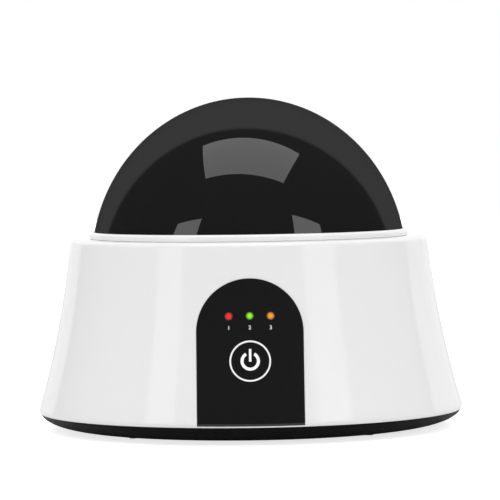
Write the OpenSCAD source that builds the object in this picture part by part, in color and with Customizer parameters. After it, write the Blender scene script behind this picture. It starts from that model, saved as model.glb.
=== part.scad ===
// Steam gel polish remover for the nail table.
// A flared housing carries a steam chamber under a smoked dome. The dome and its ring hinge
// open at the back, a hand goes in through the arch at the back, and a press key and three
// lamps sit on the front panel. Millimetres, +Z up, the front panel faces -Y, and the origin
// is on the table under the middle of the housing.

/* [Housing] */
// Radius of the housing at its widest, just above the base
widest_r = 110; // [106:0.5:114]
// Height of the widest ring above the table
widest_z = 11; // [10.6:0.1:12]
// Radius of the housing just below its top corner
shoulder_r = 93; // [91.5:0.1:93.5]
// Height of the flat shoulder that the dome ring sits over
shoulder_z = 99.2; // [97:0.1:101]
// Radius of the hollow sweep of the side wall
flare_r = 450; // [380:10:600]
// Radius of the rounded top and bottom corners of the housing
corner_r = 3; // [2.8:0.1:3.6]
// Wall thickness of the housing
wall = 2.6; // [2.2:0.1:2.8]

/* [Dome] */
// Half width of the dome's ellipse
dome_r = 81.9; // [81.5:0.1:82.2]
// Half height of the dome's ellipse
dome_h = 86.8; // [80:0.2:90]
// Height of the ellipse's middle above the table
dome_mid_z = 84.6; // [82:0.2:87]
// Wall thickness of the dome
dome_wall = 2.6; // [2.2:0.1:2.7]
// Width of the hand opening at the back of the dome
arch_w = 112; // [96:1:116]
// Height of the hand opening above the dome ring
arch_h = 46; // [36:1:50]

/* [Front panel] */
// Half width of the panel, which is also the radius of its round top
panel_r = 26.4; // [25:0.2:28]
// Height of the panel's lower edge above the table
panel_low_z = 10.1; // [10:0.1:13]
// Height of the top of the panel's arch above the table
panel_top_z = 81.6; // [78:0.2:84]
// Height of the middle of the press key above the table
key_z = 41.4; // [38:0.2:44]
// Outer diameter of the white ring round the press key
key_ring_d = 20.4; // [19:0.2:22]
// Width of the white ring's line
key_ring_line = 0.8; // [0.6:0.1:1]
// Height of the row of lamps above the table
lamp_z = 63.2; // [61:0.2:65]
// Spacing of the three lamps
lamp_pitch = 10.3; // [9.5:0.1:12]
// Diameter of each lamp's lens
lamp_d = 3.8; // [3:0.1:4.2]

/* [Steam chamber] */
// Inner radius of the tub's wall
tub_r = 75.6; // [75.4:0.1:75.8]
// Height of the tub's floor above the table
tub_floor_z = 86; // [84:0.5:87]
// Inner radius of the well that the bowl stands in
well_r = 41; // [40:0.5:42]
// Depth of the steam bowl
bowl_depth = 20; // [16:0.5:22]

/* [Base] */
// Radius where the base's rounded edge turns flat
base_flat_r = 86; // [84:0.5:90]
// Gap between the table and the flat underside, which the feet fill
foot_proud = 1.1; // [1:0.1:2]
// Diameter of a rubber foot
foot_d = 15; // [12:0.5:16]

/* [Hidden] */
$fn = 96;

big = 400;
fit = 0.4;
corner_low = [widest_r - corner_r, widest_z];
corner_top = [shoulder_r - corner_r, shoulder_z - corner_r];
sweep_r = flare_r + corner_r;
sweep_chord = norm(corner_top - corner_low);
lean_mean = atan2(corner_low.x - corner_top.x, corner_top.y - corner_low.y);
lean_half = asin(sweep_chord / (2 * sweep_r));
lean_low = lean_mean + lean_half;
lean_top = lean_mean - lean_half;
corner_low_end = -34;
flare_c = corner_low + sweep_r * [cos(lean_low), sin(lean_low)];
rim_z = corner_low.y + corner_r * sin(corner_low_end);
rim_r = corner_low.x + corner_r * cos(corner_low_end);

// Front panel frame: origin on the housing's surface at the key, Z out along its normal
key_lean = asin((flare_c.y - key_z) / flare_r);
key_r = flare_c.x - flare_r * cos(key_lean);
panel_proud = 0.3;
panel_sunk = 0.9;
key_gap = 0.1;
key_d = key_ring_d - 2 * key_ring_line - 2 * key_gap;
key_flange_d = key_d + 4;
board_w = -11.7;
board_t = 1.6;
board_half = 22;
board_low_v = -18;
board_high_v = 32;
switch_h = 3.5;
lamp_v = (lamp_z - key_z) / cos(key_lean);
board_posts = [[-18, -14], [18, -14], [-18, 28], [18, 28]];

// Dome ring and hinge
ring_r = 82.5;
ring_low_z = shoulder_z + 0.3;
ring_top_z = shoulder_z + 3.5;
ring_web = 1.3;
channel_in_r = dome_r - 4.5;
channel_out_r = dome_r - 1.3;
skirt_in_r = 73.6;
skirt_out_r = 75.2;
inner_lip_z = ring_top_z - 0.9;
dome_low_z = ring_low_z + ring_web;
hinge_y = 85.6;
hinge_z = shoulder_z + 3.2;
knuckle_r = 2.7;
pin_r = 1.25;
pin_gap = 0.05;
hinge_half = 22;
knuckle_x = [5.2, 17.8];
ear_x = [18, hinge_half];
ear_mid = 5;
arch_low_z = ring_top_z;
arch_power = 2.5;
trim_skin = 1;
trim_lap = 3;
trim_edge = 1.2;

// Chamber levels
flange_z = shoulder_z - 2;
flange_r = 81.2;
tub_t = 2;
dam_z = tub_floor_z + 2;
well_low_z = 64;
heater_top_z = dam_z + 0.8 - bowl_depth;
heater_r = 36.5;
heater_flange_r = 41;
heater_low_z = 59;
element_low_z = 56.5;
insulation_low_z = 55;
clamp_low_z = 53.5;
clamp_boss_r = 52;
clamp_angles = [-90, 30, 150];
bowl_t = 0.8;
bowl_rim_z = dam_z + 1;
bowl_wall_r = 38.5;
bowl_rim_r = 42.8;
grille_t = 1.6;
rest_in_r = 46;
rest_out_r = 73;
finger_rest_h = 9;
palm_rest_h = 10;

// Base and power board
pan_t = 2.4;
pan_floor_z = foot_proud + pan_t;
base_edge_z = rim_z - 0.1;
base_edge_r = rim_r - 0.4;
foot_r = 62;
foot_sunk = 0.8;
base_screw_r = 84;
screw_r = 1.45;
screw_hole_r = 1.5;
board_z = 10;
power_board_size = [72, 54];
power_board_y = 35;
power_posts = [[-32, 12], [32, 12], [-32, 58], [32, 58]];
inlet_z = 26;
inlet_face_y = 102.4;
inlet_pin_x = 4.3;
inlet_pin_r = 1.2;
inlet_root_r = 1.6;
inlet_depth = 11;

// Routes of the wires inside the base, round numbers in the housing's frame
mains_route = [[0, 87, 26], [0, 82, 26], [0, 77, 25], [0, 71, 24], [0, 65, 24], [0, 60, 25], [0, 57, 24],
    [0, 55.5, 20]];
heater_route = [[0, 43, 57.8], [0, 47, 57], [0, 50, 54], [0, 51, 48], [0, 51, 40], [0, 50, 32],
    [0, 48, 28], [0, 44, 26], [0, 40, 25], [0, 38, 22], [0, 38, 20]];
ribbon_route = [[10, 22], [4, 23], [-4, 21], [-14, 15], [-28, 10], [-44, 8.5], [-58, 10], [-69, 15],
    [-76, 21], [-80, 26], [-81.5, 30]];

// Points of an arc of radius r about c, from angle a to angle b, in n steps
function arc(c, r, a, b, n) = [for (i = [0:n]) c + r * [cos(a + (b - a) * i / n), sin(a + (b - a) * i / n)]];

// Side of the housing from rim to shoulder, moved inwards by t
function housing_side(t) = concat(
    arc(corner_low, corner_r - t, corner_low_end, lean_low, 5),
    [for (i = [1:13]) let (a = lean_low + (lean_top - lean_low) * i / 14)
        flare_c - (flare_r + t) * [cos(a), sin(a)]],
    arc(corner_top, corner_r - t, lean_top, 90, 5));

// Side of the dome from height z up to the pole, moved inwards by t
function dome_side(t, z) = let (low = asin((z - dome_mid_z) / (dome_h - t)))
    [for (i = [0:18]) let (a = low + (90 - low) * i / 18)
        [(dome_r - t) * cos(a), dome_mid_z + (dome_h - t) * sin(a)]];

// Upper half of a squared ellipse, w wide and h high, from right to left
function arch_outline(w, h) = [for (i = [0:24]) let (a = 180 * i / 24)
    [sign(cos(a)) * w / 2 * pow(abs(cos(a)), 2 / arch_power), h * pow(sin(a), 2 / arch_power)]];

// Rounded edge of the base from the seam down to the flat
base_power = 1.8;
base_curve_w = base_edge_r - base_flat_r;
function base_side(t) = [for (i = [0:9]) let (a = 90 * i / 9)
    [base_flat_r + (base_curve_w - t) * pow(cos(a), 2 / base_power),
        base_edge_z - (base_edge_z - foot_proud - t) * pow(sin(a), 2 / base_power)]];

// Points and faces of a tube of radius r with n sides along a path; side is a vector across it
function unit(v) = v / norm(v);
function path_direction(p, i) = unit(p[min(i + 1, len(p) - 1)] - p[max(i - 1, 0)]);
function tube_points(p, r, n, side) = [for (i = [0:len(p) - 1])
    let (t = path_direction(p, i), u = unit(cross(side, t)), v = cross(t, u))
    for (k = [0:n - 1]) p[i] + r * (cos(360 * k / n) * u + sin(360 * k / n) * v)];
function tube_faces(m, n) = concat(
    [for (i = [0:m - 2], k = [0:n - 1]) [i * n + k, (i + 1) * n + k, (i + 1) * n + (k + 1) % n]],
    [for (i = [0:m - 2], k = [0:n - 1]) [i * n + k, (i + 1) * n + (k + 1) % n, i * n + (k + 1) % n]],
    [for (k = [1:n - 2]) [0, k, k + 1]],
    [for (k = [1:n - 2]) [(m - 1) * n, (m - 1) * n + k + 1, (m - 1) * n + k]]);

// Outline of a strip of thickness t along a path in the plane
function strip_outline(p, t) = let (n = [for (i = [0:len(p) - 1])
        let (d = unit(p[min(i + 1, len(p) - 1)] - p[max(i - 1, 0)])) [-d.y, d.x]])
    concat([for (i = [0:len(p) - 1]) p[i] + n[i] * t / 2],
        [for (i = [len(p) - 1:-1:0]) p[i] - n[i] * t / 2]);

module disc(r, z0, z1) { translate([0, 0, z0]) cylinder(r = r, h = z1 - z0); }
module ring(r_in, r_out, z0, z1) {
    difference() {
        disc(r_out, z0, z1);
        disc(r_in, z0 - 1, z1 + 1);
    }
}
module tube(path, r, n, side) { polyhedron(tube_points(path, r, n, side), tube_faces(len(path), n)); }
module polar(angle, r) { rotate(angle) translate([r, 0, 0]) children(); }
module at_screws(r = base_screw_r) { for (a = [45:90:315]) polar(a, r) children(); }
module on_panel() { translate([0, -key_r, key_z]) rotate([90 - key_lean, 0, 0]) children(); }
module at_lamp(i) { on_panel() translate([i * lamp_pitch, lamp_v, 0]) children(); }

// Everything inside the housing's surface moved inwards by t
module housing_solid(t) {
    side = housing_side(t);
    rotate_extrude() polygon(concat([[0, side[0].y]], side, [[0, side[len(side) - 1].y]]));
}
// Everything inside the dome's surface moved inwards by t, from height z up
module dome_solid(t, z) { rotate_extrude() polygon(concat([[0, z]], dome_side(t, z))); }

// Prism of the panel's outline through the front wall, grown by g
module panel_prism(g) {
    r = panel_r + g;
    spring_z = panel_top_z - panel_r;
    translate([0, -70, 0]) rotate([90, 0, 0]) linear_extrude(60) union() {
        translate([0, spring_z]) circle(r = r);
        translate([-r, panel_low_z - g]) square([2 * r, spring_z - panel_low_z + g]);
    }
}
// Layer that the panel fills: from its sunk back to its proud face
module panel_layer() {
    difference() {
        housing_solid(-panel_proud);
        housing_solid(panel_sunk);
    }
}
// Prism of the hand opening through the back of the dome, its edge moved inwards by g
module arch_prism(g) {
    translate([0, 130, arch_low_z + max(g, 0)]) rotate([90, 0, 0]) linear_extrude(110)
        polygon(arch_outline(arch_w - 2 * g, arch_h - g - max(g, 0)));
}
// Screw with a pan head: head down at z0, shank up for length l
module screw(l, r = screw_r, head_r = 2.8, head_h = 2) {
    difference() {
        union() {
            cylinder(r = head_r, h = head_h);
            cylinder(r = r, h = head_h + l);
        }
        for (a = [0, 90]) rotate(a) translate([-head_r * 0.6, -0.4, -1]) cube([head_r * 1.2, 0.8, 2.1]);
    }
}
// Hinge barrel along X between x0 and x1, with its pin hole of radius hole
module knuckle(x0, x1, hole) {
    translate([x0, hinge_y, hinge_z]) rotate([0, 90, 0]) difference() {
        cylinder(r = knuckle_r, h = x1 - x0);
        translate([0, 0, -1]) cylinder(r = hole, h = x1 - x0 + 2);
    }
}
module pin_hole(r) {
    translate([-40, hinge_y, hinge_z]) rotate([0, 90, 0]) cylinder(r = r, h = 80);
}

// ---- Housing ----

module hinge_ear(x0, x1) {
    foot_z = shoulder_z - wall / 2;
    difference() {
        union() {
            translate([x0, hinge_y, hinge_z]) rotate([0, 90, 0]) cylinder(r = knuckle_r, h = x1 - x0);
            translate([x0, hinge_y - knuckle_r, foot_z])
                cube([x1 - x0, 2 * knuckle_r, hinge_z - foot_z]);
        }
        pin_hole(pin_r);
    }
}
module screw_boss() {
    difference() {
        union() {
            disc(4, pan_floor_z, 34);
            translate([0, -1, 15]) cube([widest_r - base_screw_r - 3, 2, 15]);
        }
        disc(screw_hole_r, pan_floor_z - 1, 22);
    }
}
module inlet_pocket(grow) {
    translate([-14 - grow, inlet_face_y - grow, inlet_z - 9.5 - grow])
        cube([28 + 2 * grow, 12, 19 + 2 * grow]);
}
module housing_shell() {
    color("whitesmoke") difference() {
        union() {
            difference() {
                housing_solid(0);
                housing_solid(wall);
                disc(rim_r - wall, rim_z - 1, corner_low.y + 2);
            }
            ring(78, 84, flange_z - 2.4, flange_z);
            intersection() {
                at_screws() screw_boss();
                union() {
                    housing_solid(wall / 2);
                    disc(96, 0, 20);
                }
            }
            on_panel() for (p = board_posts) translate([p.x, p.y, board_w])
                cylinder(r = 2.6, h = -board_w - 2.4);
            intersection() {
                inlet_pocket(2);
                housing_solid(0);
            }
            for (x = [-ear_x[1], ear_x[0]]) hinge_ear(x, x + ear_x[1] - ear_x[0]);
            hinge_ear(-ear_mid, ear_mid);
        }
        disc(78, 80, big);
        disc(flange_r + 0.3, flange_z, big);
        intersection() {
            panel_prism(key_gap);
            difference() {
                disc(widest_r + 5, 5, shoulder_z);
                housing_solid(panel_sunk);
            }
        }
        on_panel() translate([0, 0, -6]) cylinder(d = key_flange_d + 1, h = 10);
        for (i = [-1:1]) at_lamp(i) translate([0, 0, -8]) cylinder(d = lamp_d + 0.3, h = 12);
        on_panel() for (p = board_posts) translate([p.x, p.y, board_w - 1]) cylinder(r = 1.05, h = 7);
        inlet_pocket(0);
        translate([-10, 80, inlet_z - 5.8]) cube([20, 30, 11.6]);
    }
}
module base_pan() {
    vent_rows = 5;
    color("#1b1b1d") difference() {
        union() {
            difference() {
                rotate_extrude() polygon(concat([[0, base_edge_z]], base_side(0), [[0, foot_proud]]));
                rotate_extrude() polygon(concat(
                    [[0, base_edge_z + 1], [base_edge_r - pan_t, base_edge_z + 1]],
                    base_side(pan_t), [[0, pan_floor_z]]));
            }
            ring(rim_r - wall - fit - 2, rim_r - wall - fit, base_edge_z - 2.5, base_edge_z + 2.6);
            for (p = power_posts) translate([p.x, p.y, 0]) disc(3.4, foot_proud + 1, board_z);
            for (a = [45:90:315]) polar(a, foot_r) disc(foot_d / 2 + 2, foot_proud + 1, pan_floor_z + 1);
        }
        at_screws() disc(1.7, 0, 20);
        at_screws() disc(3.2, 0, foot_proud + 1.2);
        for (a = [45:90:315]) polar(a, foot_r) disc(foot_d / 2, 0, foot_proud + foot_sunk);
        for (p = power_posts) translate([p.x, p.y, 0]) disc(1.3, pan_floor_z + 0.6, 20);
        for (i = [0:vent_rows - 1]) translate([-22, 18 + i * 8, 0]) cube([44, 2.4, 8]);
    }
}
module rubber_foot(angle) {
    color("#2a2a2a") polar(angle, foot_r) rotate_extrude() polygon([
        [0, 0], [foot_d / 2 - 1.6, 0], [foot_d / 2 - 0.7, 0.5], [foot_d / 2 - 0.3, foot_proud],
        [foot_d / 2 - 0.3, foot_proud + foot_sunk], [0, foot_proud + foot_sunk]]);
}
module base_screws() {
    color("silver") at_screws() translate([0, 0, foot_proud + 1.2 - 2]) screw(14);
}
module hinge_pin() {
    color("silver") translate([-hinge_half, hinge_y, hinge_z]) rotate([0, 90, 0])
        cylinder(r = pin_r, h = 2 * hinge_half);
}

// ---- Front panel ----

module front_panel() {
    color("#141414") difference() {
        intersection() {
            panel_prism(0);
            panel_layer();
        }
        on_panel() translate([0, 0, -5]) cylinder(d = key_ring_d, h = 10);
        for (i = [-1:1]) at_lamp(i) translate([0, 0, -5]) cylinder(d = lamp_d, h = 10);
    }
}
module key_ring() {
    color("white") intersection() {
        panel_layer();
        on_panel() difference() {
            translate([0, 0, -5]) cylinder(d = key_ring_d, h = 10);
            translate([0, 0, -6]) cylinder(d = key_ring_d - 2 * key_ring_line, h = 12);
        }
    }
}
module lamp_lens(i, tint) {
    color(tint) intersection() {
        housing_solid(-panel_proud);
        at_lamp(i) union() {
            translate([0, 0, -5]) cylinder(d = lamp_d, h = 10);
            translate([0, 0, -6.2]) cylinder(d = lamp_d - 0.4, h = 2);
        }
    }
}
module indicator_lamps() {
    for (i = [-1:1]) color(["red", "lime", "orange"][i + 1]) at_lamp(i) {
        translate([0, 0, board_w]) cylinder(d = 3.8, h = 1);
        translate([0, 0, board_w + 1]) cylinder(d = 3, h = 2.6);
        translate([0, 0, board_w + 3.6]) intersection() {
            sphere(d = 3);
            cylinder(d = 4, h = 3);
        }
    }
}
module control_board() {
    color("darkgreen") on_panel() difference() {
        translate([-board_half, board_low_v, board_w - board_t])
            cube([2 * board_half, board_high_v - board_low_v, board_t]);
        for (p = board_posts) translate([p.x, p.y, board_w - 3]) cylinder(r = 1.35, h = 5);
    }
}
module tact_switch() {
    color("#222222") on_panel() difference() {
        union() {
            translate([-3, -3, board_w]) cube([6, 6, switch_h - 0.4]);
            translate([-2.7, -2.7, board_w]) cube([5.4, 5.4, switch_h]);
        }
        translate([0, 0, board_w + 0.9]) cylinder(d = 3.7, h = 5);
    }
}
module control_board_screws() {
    color("silver") on_panel() for (p = board_posts) translate([p.x, p.y, board_w - board_t - 1.4])
        screw(board_t + 4.5, 1, 2, 1.4);
}
module control_connector() {
    color("ivory") on_panel() translate([-8, -14, board_w - board_t - 6]) difference() {
        cube([16, 6, 6]);
        translate([1, 1, -1]) cube([14, 4, 5]);
    }
}
module power_key() {
    color("#141414") union() {
        intersection() {
            housing_solid(-panel_proud);
            on_panel() translate([0, 0, -2.4]) cylinder(d = key_d, h = 8);
        }
        on_panel() translate([0, 0, -3.4]) cylinder(d = key_flange_d, h = 1.4);
        on_panel() translate([0, 0, board_w + switch_h + 1])
            cylinder(d = 5, h = -4.2 - board_w - switch_h);
    }
}
module switch_plunger() {
    color("#333333") on_panel() translate([0, 0, board_w + 1.8]) cylinder(d = 3.5, h = switch_h - 0.8);
}

// ---- Steam chamber ----

module chamber_tub() {
    boss_low_z = insulation_low_z;
    color("#f2f2ef") difference() {
        union() {
            ring(tub_r, flange_r, flange_z, shoulder_z);
            ring(tub_r, tub_r + tub_t, tub_floor_z - tub_t, flange_z + 0.5);
            ring(well_r, tub_r + 1, tub_floor_z - tub_t, tub_floor_z);
            ring(well_r, well_r + tub_t, well_low_z, dam_z);
            ring(heater_r + 1, well_r + 1, well_low_z, well_low_z + 2);
            for (a = clamp_angles) polar(a, clamp_boss_r) disc(4, boss_low_z, tub_floor_z - 1);
        }
        for (a = clamp_angles) polar(a, clamp_boss_r) disc(screw_hole_r, boss_low_z - 1, 72);
    }
}
// Block between the bowl and the tub's wall, over an angle of span about the angle mid
module rest_block(mid, span, h) {
    rotate(mid - span / 2) rotate_extrude(angle = span)
        translate([rest_in_r, tub_floor_z]) polygon([[0, 0], [rest_out_r - rest_in_r, 0],
            [rest_out_r - rest_in_r, h - 2], [rest_out_r - rest_in_r - 2, h], [2.5, h], [0, h - 2.5]]);
}
module finger_rest() {
    groove_r = 8.6;
    color("#e9e9e6") difference() {
        rest_block(-90, 150, finger_rest_h);
        for (i = [-2:2]) rotate(-90 + i * 27) translate([30, 0, tub_floor_z + groove_r + 3.6])
            rotate([0, 90, 0]) cylinder(r = groove_r, h = 50);
    }
}
module palm_rest() {
    color("#5a5a5c") difference() {
        rest_block(90, 112, palm_rest_h);
        translate([0, 30, tub_floor_z + palm_rest_h + 66]) rotate([-90, 0, 0]) cylinder(r = 69, h = 60);
    }
}
module heater_plate() {
    color("#b9bcc0") difference() {
        union() {
            disc(heater_r, heater_low_z, heater_top_z);
            disc(heater_flange_r, heater_low_z, heater_low_z + 3);
        }
        disc(4, heater_low_z - 1, heater_low_z + 2);
    }
}
module heater_seal() {
    color("#b4532a") ring(heater_r + 0.1, heater_flange_r, heater_low_z + 3, well_low_z);
}
module heating_element() {
    color("#8d7f63") union() {
        ring(8, 33, element_low_z, heater_low_z);
        for (x = [-8, 8]) translate([x - 2.4, 28, element_low_z + 0.9]) cube([4.8, 15, 0.8]);
    }
}
module insulation_disc() {
    color("#cfc6a8") ring(5, 34, insulation_low_z, element_low_z);
}
module heater_clamp() {
    color("#9fa3a8") difference() {
        union() {
            disc(35, clamp_low_z, insulation_low_z);
            for (a = clamp_angles) rotate(a) translate([20, -6, clamp_low_z])
                cube([clamp_boss_r - 20, 12, insulation_low_z - clamp_low_z]);
            for (a = clamp_angles) polar(a, clamp_boss_r) disc(6, clamp_low_z, insulation_low_z);
        }
        for (a = clamp_angles) polar(a, clamp_boss_r) disc(1.7, 50, 60);
        disc(9, 50, 60);
    }
}
module heater_screws() {
    color("silver") for (a = clamp_angles) polar(a, clamp_boss_r)
        translate([0, 0, clamp_low_z - 2]) screw(14);
}
module thermostat() {
    color("#3b3b3d") translate([19, 0, 0]) union() {
        disc(7.8, clamp_low_z - 5, clamp_low_z);
        disc(6.5, clamp_low_z - 9, clamp_low_z - 5);
        translate([-12, -3, clamp_low_z - 0.8]) cube([24, 6, 0.8]);
        for (y = [-4, 4]) translate([-0.4, y - 2.4, clamp_low_z - 15]) cube([0.8, 4.8, 6.5]);
    }
}
module thermal_fuse() {
    color("#c9b26a") translate([-19, 0, clamp_low_z - 2.2]) rotate([90, 0, 0]) union() {
        translate([0, 0, -6]) cylinder(r = 2.1, h = 12);
        translate([0, 0, -16]) cylinder(r = 0.5, h = 32);
    }
}
module steam_bowl() {
    floor_z = heater_top_z;
    color("#c7c9cc") rotate_extrude() polygon([
        [0, floor_z], [36.6, floor_z], [37.6, floor_z + 1],
        [bowl_wall_r, bowl_rim_z - bowl_t - 0.8], [39.4, bowl_rim_z - bowl_t],
        [bowl_rim_r, bowl_rim_z - bowl_t], [bowl_rim_r, bowl_rim_z], [39, bowl_rim_z],
        [bowl_wall_r - bowl_t, bowl_rim_z - bowl_t],
        [36.9, floor_z + 1.7], [36.1, floor_z + bowl_t], [0, floor_z + bowl_t]]);
}
module bowl_grille() {
    color("#d9dadc") difference() {
        union() {
            disc(bowl_rim_r - 0.4, bowl_rim_z, bowl_rim_z + grille_t);
            ring(35.6, 36.5, bowl_rim_z - 2.5, bowl_rim_z + 0.5);
        }
        for (k = [1:4], i = [0:6 * k - 1]) polar(360 * i / (6 * k), 8 * k)
            disc(2, bowl_rim_z - 1, bowl_rim_z + grille_t + 1);
        disc(2, bowl_rim_z - 1, bowl_rim_z + grille_t + 1);
    }
}

// ---- Dome and its ring ----

module lid_ring() {
    edge = 1.5;
    lip = [for (i = [0:5]) [ring_r - edge + edge * cos(18 * i), ring_top_z - edge + edge * sin(18 * i)]];
    color("white") difference() {
        union() {
            rotate_extrude() polygon(concat([
                [skirt_in_r, ring_low_z - 2.1], [skirt_out_r, ring_low_z - 2.1], [skirt_out_r, ring_low_z],
                [ring_r - 0.4, ring_low_z], [ring_r, ring_low_z + 0.4]], lip, [
                [channel_out_r, ring_top_z], [channel_out_r, dome_low_z], [channel_in_r, dome_low_z],
                [channel_in_r, inner_lip_z], [skirt_in_r, inner_lip_z]]));
            for (s = [-1, 1]) difference() {
                translate([s > 0 ? knuckle_x[0] : -knuckle_x[1], 76, ring_low_z + 1.2])
                    cube([knuckle_x[1] - knuckle_x[0], hinge_y - 76, 2.9]);
                disc(ring_r - 1, ring_low_z, big);
                pin_hole(pin_r + pin_gap);
            }
            for (x = [-knuckle_x[1], knuckle_x[0]])
                knuckle(x, x + knuckle_x[1] - knuckle_x[0], pin_r + pin_gap);
        }
        ring(77.6, 79.6, ring_low_z - 1, ring_low_z + 0.6);
    }
}
module lid_seal() {
    color("#3a3a3a") ring(77.7, 79.5, shoulder_z, ring_low_z + 0.6);
}
module dome_cover() {
    color("#232325") difference() {
        dome_solid(0, dome_low_z);
        dome_solid(dome_wall, dome_low_z - 1);
        arch_prism(0);
    }
}
module opening_trim() {
    color("#0f0f10") difference() {
        intersection() {
            difference() {
                dome_solid(-trim_skin, arch_low_z);
                dome_solid(dome_wall + trim_skin, arch_low_z - 1);
            }
            arch_prism(-trim_lap);
        }
        arch_prism(trim_edge);
        dome_cover();
    }
}

// ---- Power supply ----

module power_board() {
    color("#2f6b3c") difference() {
        translate([-power_board_size.x / 2, power_board_y - power_board_size.y / 2, board_z])
            cube([power_board_size.x, power_board_size.y, board_t]);
        for (p = power_posts) translate([p.x, p.y, board_z - 1]) cylinder(r = 1.7, h = 4);
    }
}
module power_board_screws() {
    color("silver") for (p = power_posts) translate([p.x, p.y, board_z + board_t + 1.8]) mirror([0, 0, 1])
        screw(6, 1.25, 2.6, 1.8);
}
module on_board(x, y) { translate([x, y, board_z + board_t]) children(); }
module transformer() {
    color("#c9a227") on_board(-23, 35) union() {
        translate([-11, -11, 0]) cube([22, 22, 3]);
        translate([-8, -8, 3]) cube([16, 16, 12]);
        translate([-11, -11, 15]) cube([22, 22, 3]);
    }
}
module relay() {
    color("#1f5fa8") on_board(22, 26) translate([-8, -10, 0]) cube([16, 20, 16]);
}
module capacitor() {
    color("#26262a") on_board(3, 24) union() {
        cylinder(d = 13, h = 19);
        translate([0, 0, 19]) cylinder(d = 11.5, h = 0.8);
    }
}
module mains_fuse() {
    color("#d5d8da") on_board(24, 50) translate([0, 0, 3.5]) rotate([0, 90, 0]) union() {
        translate([0, 0, -10]) cylinder(d = 4.8, h = 20);
        for (z = [-10, 4.5]) translate([0, 0, z]) cylinder(d = 5.4, h = 5.5);
    }
}
module terminal_block(x, y, w) {
    on_board(x, y) difference() {
        translate([-w / 2, -4, 0]) cube([w, 8, 10]);
        translate([-w / 2 + 1, -2.6, 8]) cube([w - 2, 5.2, 3]);
    }
}
module mains_terminal() { color("#3d7d3a") terminal_block(0, 55.5, 16); }
module heater_terminal() { color("#3d7d3a") terminal_block(0, 38, 22); }
module ribbon_socket() { color("ivory") on_board(0, 12.5) translate([-8, -4, 0]) cube([16, 6, 9]); }
module figure_eight(depth) {
    linear_extrude(depth) union() {
        for (x = [-inlet_pin_x, inlet_pin_x]) translate([x, 0]) circle(r = 4.2);
        translate([-inlet_pin_x, -3.4]) square([2 * inlet_pin_x, 6.8]);
    }
}
module power_inlet() {
    color("#161616") difference() {
        union() {
            translate([-13, inlet_face_y, inlet_z - 8.5]) cube([26, 1.6, 17]);
            translate([-9.7, inlet_face_y - 14, inlet_z - 5.5]) cube([19.4, 14.5, 11]);
        }
        translate([0, inlet_face_y + 2, inlet_z]) rotate([90, 0, 0]) figure_eight(inlet_depth + 2);
        for (x = [-inlet_pin_x, inlet_pin_x]) translate([x, 60, inlet_z]) rotate([-90, 0, 0])
            cylinder(r = inlet_root_r, h = inlet_face_y - inlet_depth - 59.5);
    }
}
module inlet_pins() {
    color("gold") for (x = [-inlet_pin_x, inlet_pin_x])
        translate([x, inlet_face_y - 15.4, inlet_z]) rotate([-90, 0, 0]) union() {
            cylinder(r = inlet_root_r, h = 15.4 - inlet_depth);
            cylinder(r = inlet_pin_r, h = 14.4);
        }
}
module mains_leads() {
    for (x = [-inlet_pin_x, inlet_pin_x]) color(x < 0 ? "saddlebrown" : "royalblue")
        translate([x, 0, 0]) tube(mains_route, 1, 8, [1, 0, 0]);
}
module heater_leads() {
    color("firebrick") for (x = [-8, 8]) translate([x, 0, 0]) tube(heater_route, 1.1, 8, [1, 0, 0]);
}
module control_ribbon() {
    color("gainsboro") translate([-6, 0, 0]) rotate([90, 0, 90]) linear_extrude(12)
        polygon(strip_outline(ribbon_route, 1));
}

housing_shell();
base_pan();
rubber_foot(225);  // rubber_foot_front_left
rubber_foot(315);  // rubber_foot_front_right
rubber_foot(135);  // rubber_foot_rear_left
rubber_foot(45);  // rubber_foot_rear_right
base_screws();
front_panel();
key_ring();
lamp_lens(-1, "red");  // lamp_lens_red
lamp_lens(0, "lime");  // lamp_lens_green
lamp_lens(1, "orange");  // lamp_lens_amber
indicator_lamps();
control_board();
tact_switch();
control_board_screws();
control_connector();
chamber_tub();
palm_rest();
finger_rest();
heater_plate();
heater_seal();
heating_element();
insulation_disc();
heater_clamp();
heater_screws();
thermostat();
thermal_fuse();
power_board();
power_board_screws();
transformer();
relay();
capacitor();
mains_fuse();
mains_terminal();
heater_terminal();
ribbon_socket();
power_inlet();
inlet_pins();
mains_leads();
heater_leads();
control_ribbon();
hinge_pin();
lid_ring();
dome_cover();
opening_trim();
lid_seal();
power_key();
switch_plunger();
steam_bowl();
bowl_grille();
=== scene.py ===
# %% [markdown]
# # A steam gel polish remover, piece by piece
#
# The machine stands on a nail table. A white flared housing carries a steam chamber, a smoked
# dome on a white ring hinges open at the back, and a black panel in front holds three lamps and
# one press key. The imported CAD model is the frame: it says where each piece is and what moves.
# This file makes the surfaces that people see, at the same places and sizes, and their finishes.
# Lengths are in millimetres in the text and the values, and turn into metres in one helper.

# %% Load the frame
import math

import bmesh
import bpy
import numpy as np
from mathutils import Matrix, Vector
from mathutils.bvhtree import BVHTree
from mathutils.geometry import delaunay_2d_cdt as delaunay


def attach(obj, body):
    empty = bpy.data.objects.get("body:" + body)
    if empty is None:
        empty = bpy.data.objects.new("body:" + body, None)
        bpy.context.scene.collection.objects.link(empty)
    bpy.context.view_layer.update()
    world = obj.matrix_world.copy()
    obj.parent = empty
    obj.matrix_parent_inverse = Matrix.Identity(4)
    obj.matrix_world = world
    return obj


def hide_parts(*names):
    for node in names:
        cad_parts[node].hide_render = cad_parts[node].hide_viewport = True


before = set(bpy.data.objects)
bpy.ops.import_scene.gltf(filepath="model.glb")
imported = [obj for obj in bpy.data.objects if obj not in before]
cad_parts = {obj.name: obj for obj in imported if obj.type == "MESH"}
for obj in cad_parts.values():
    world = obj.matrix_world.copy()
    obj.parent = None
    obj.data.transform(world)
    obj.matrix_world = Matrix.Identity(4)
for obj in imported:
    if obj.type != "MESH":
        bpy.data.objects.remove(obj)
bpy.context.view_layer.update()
MM = 0.001

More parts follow.
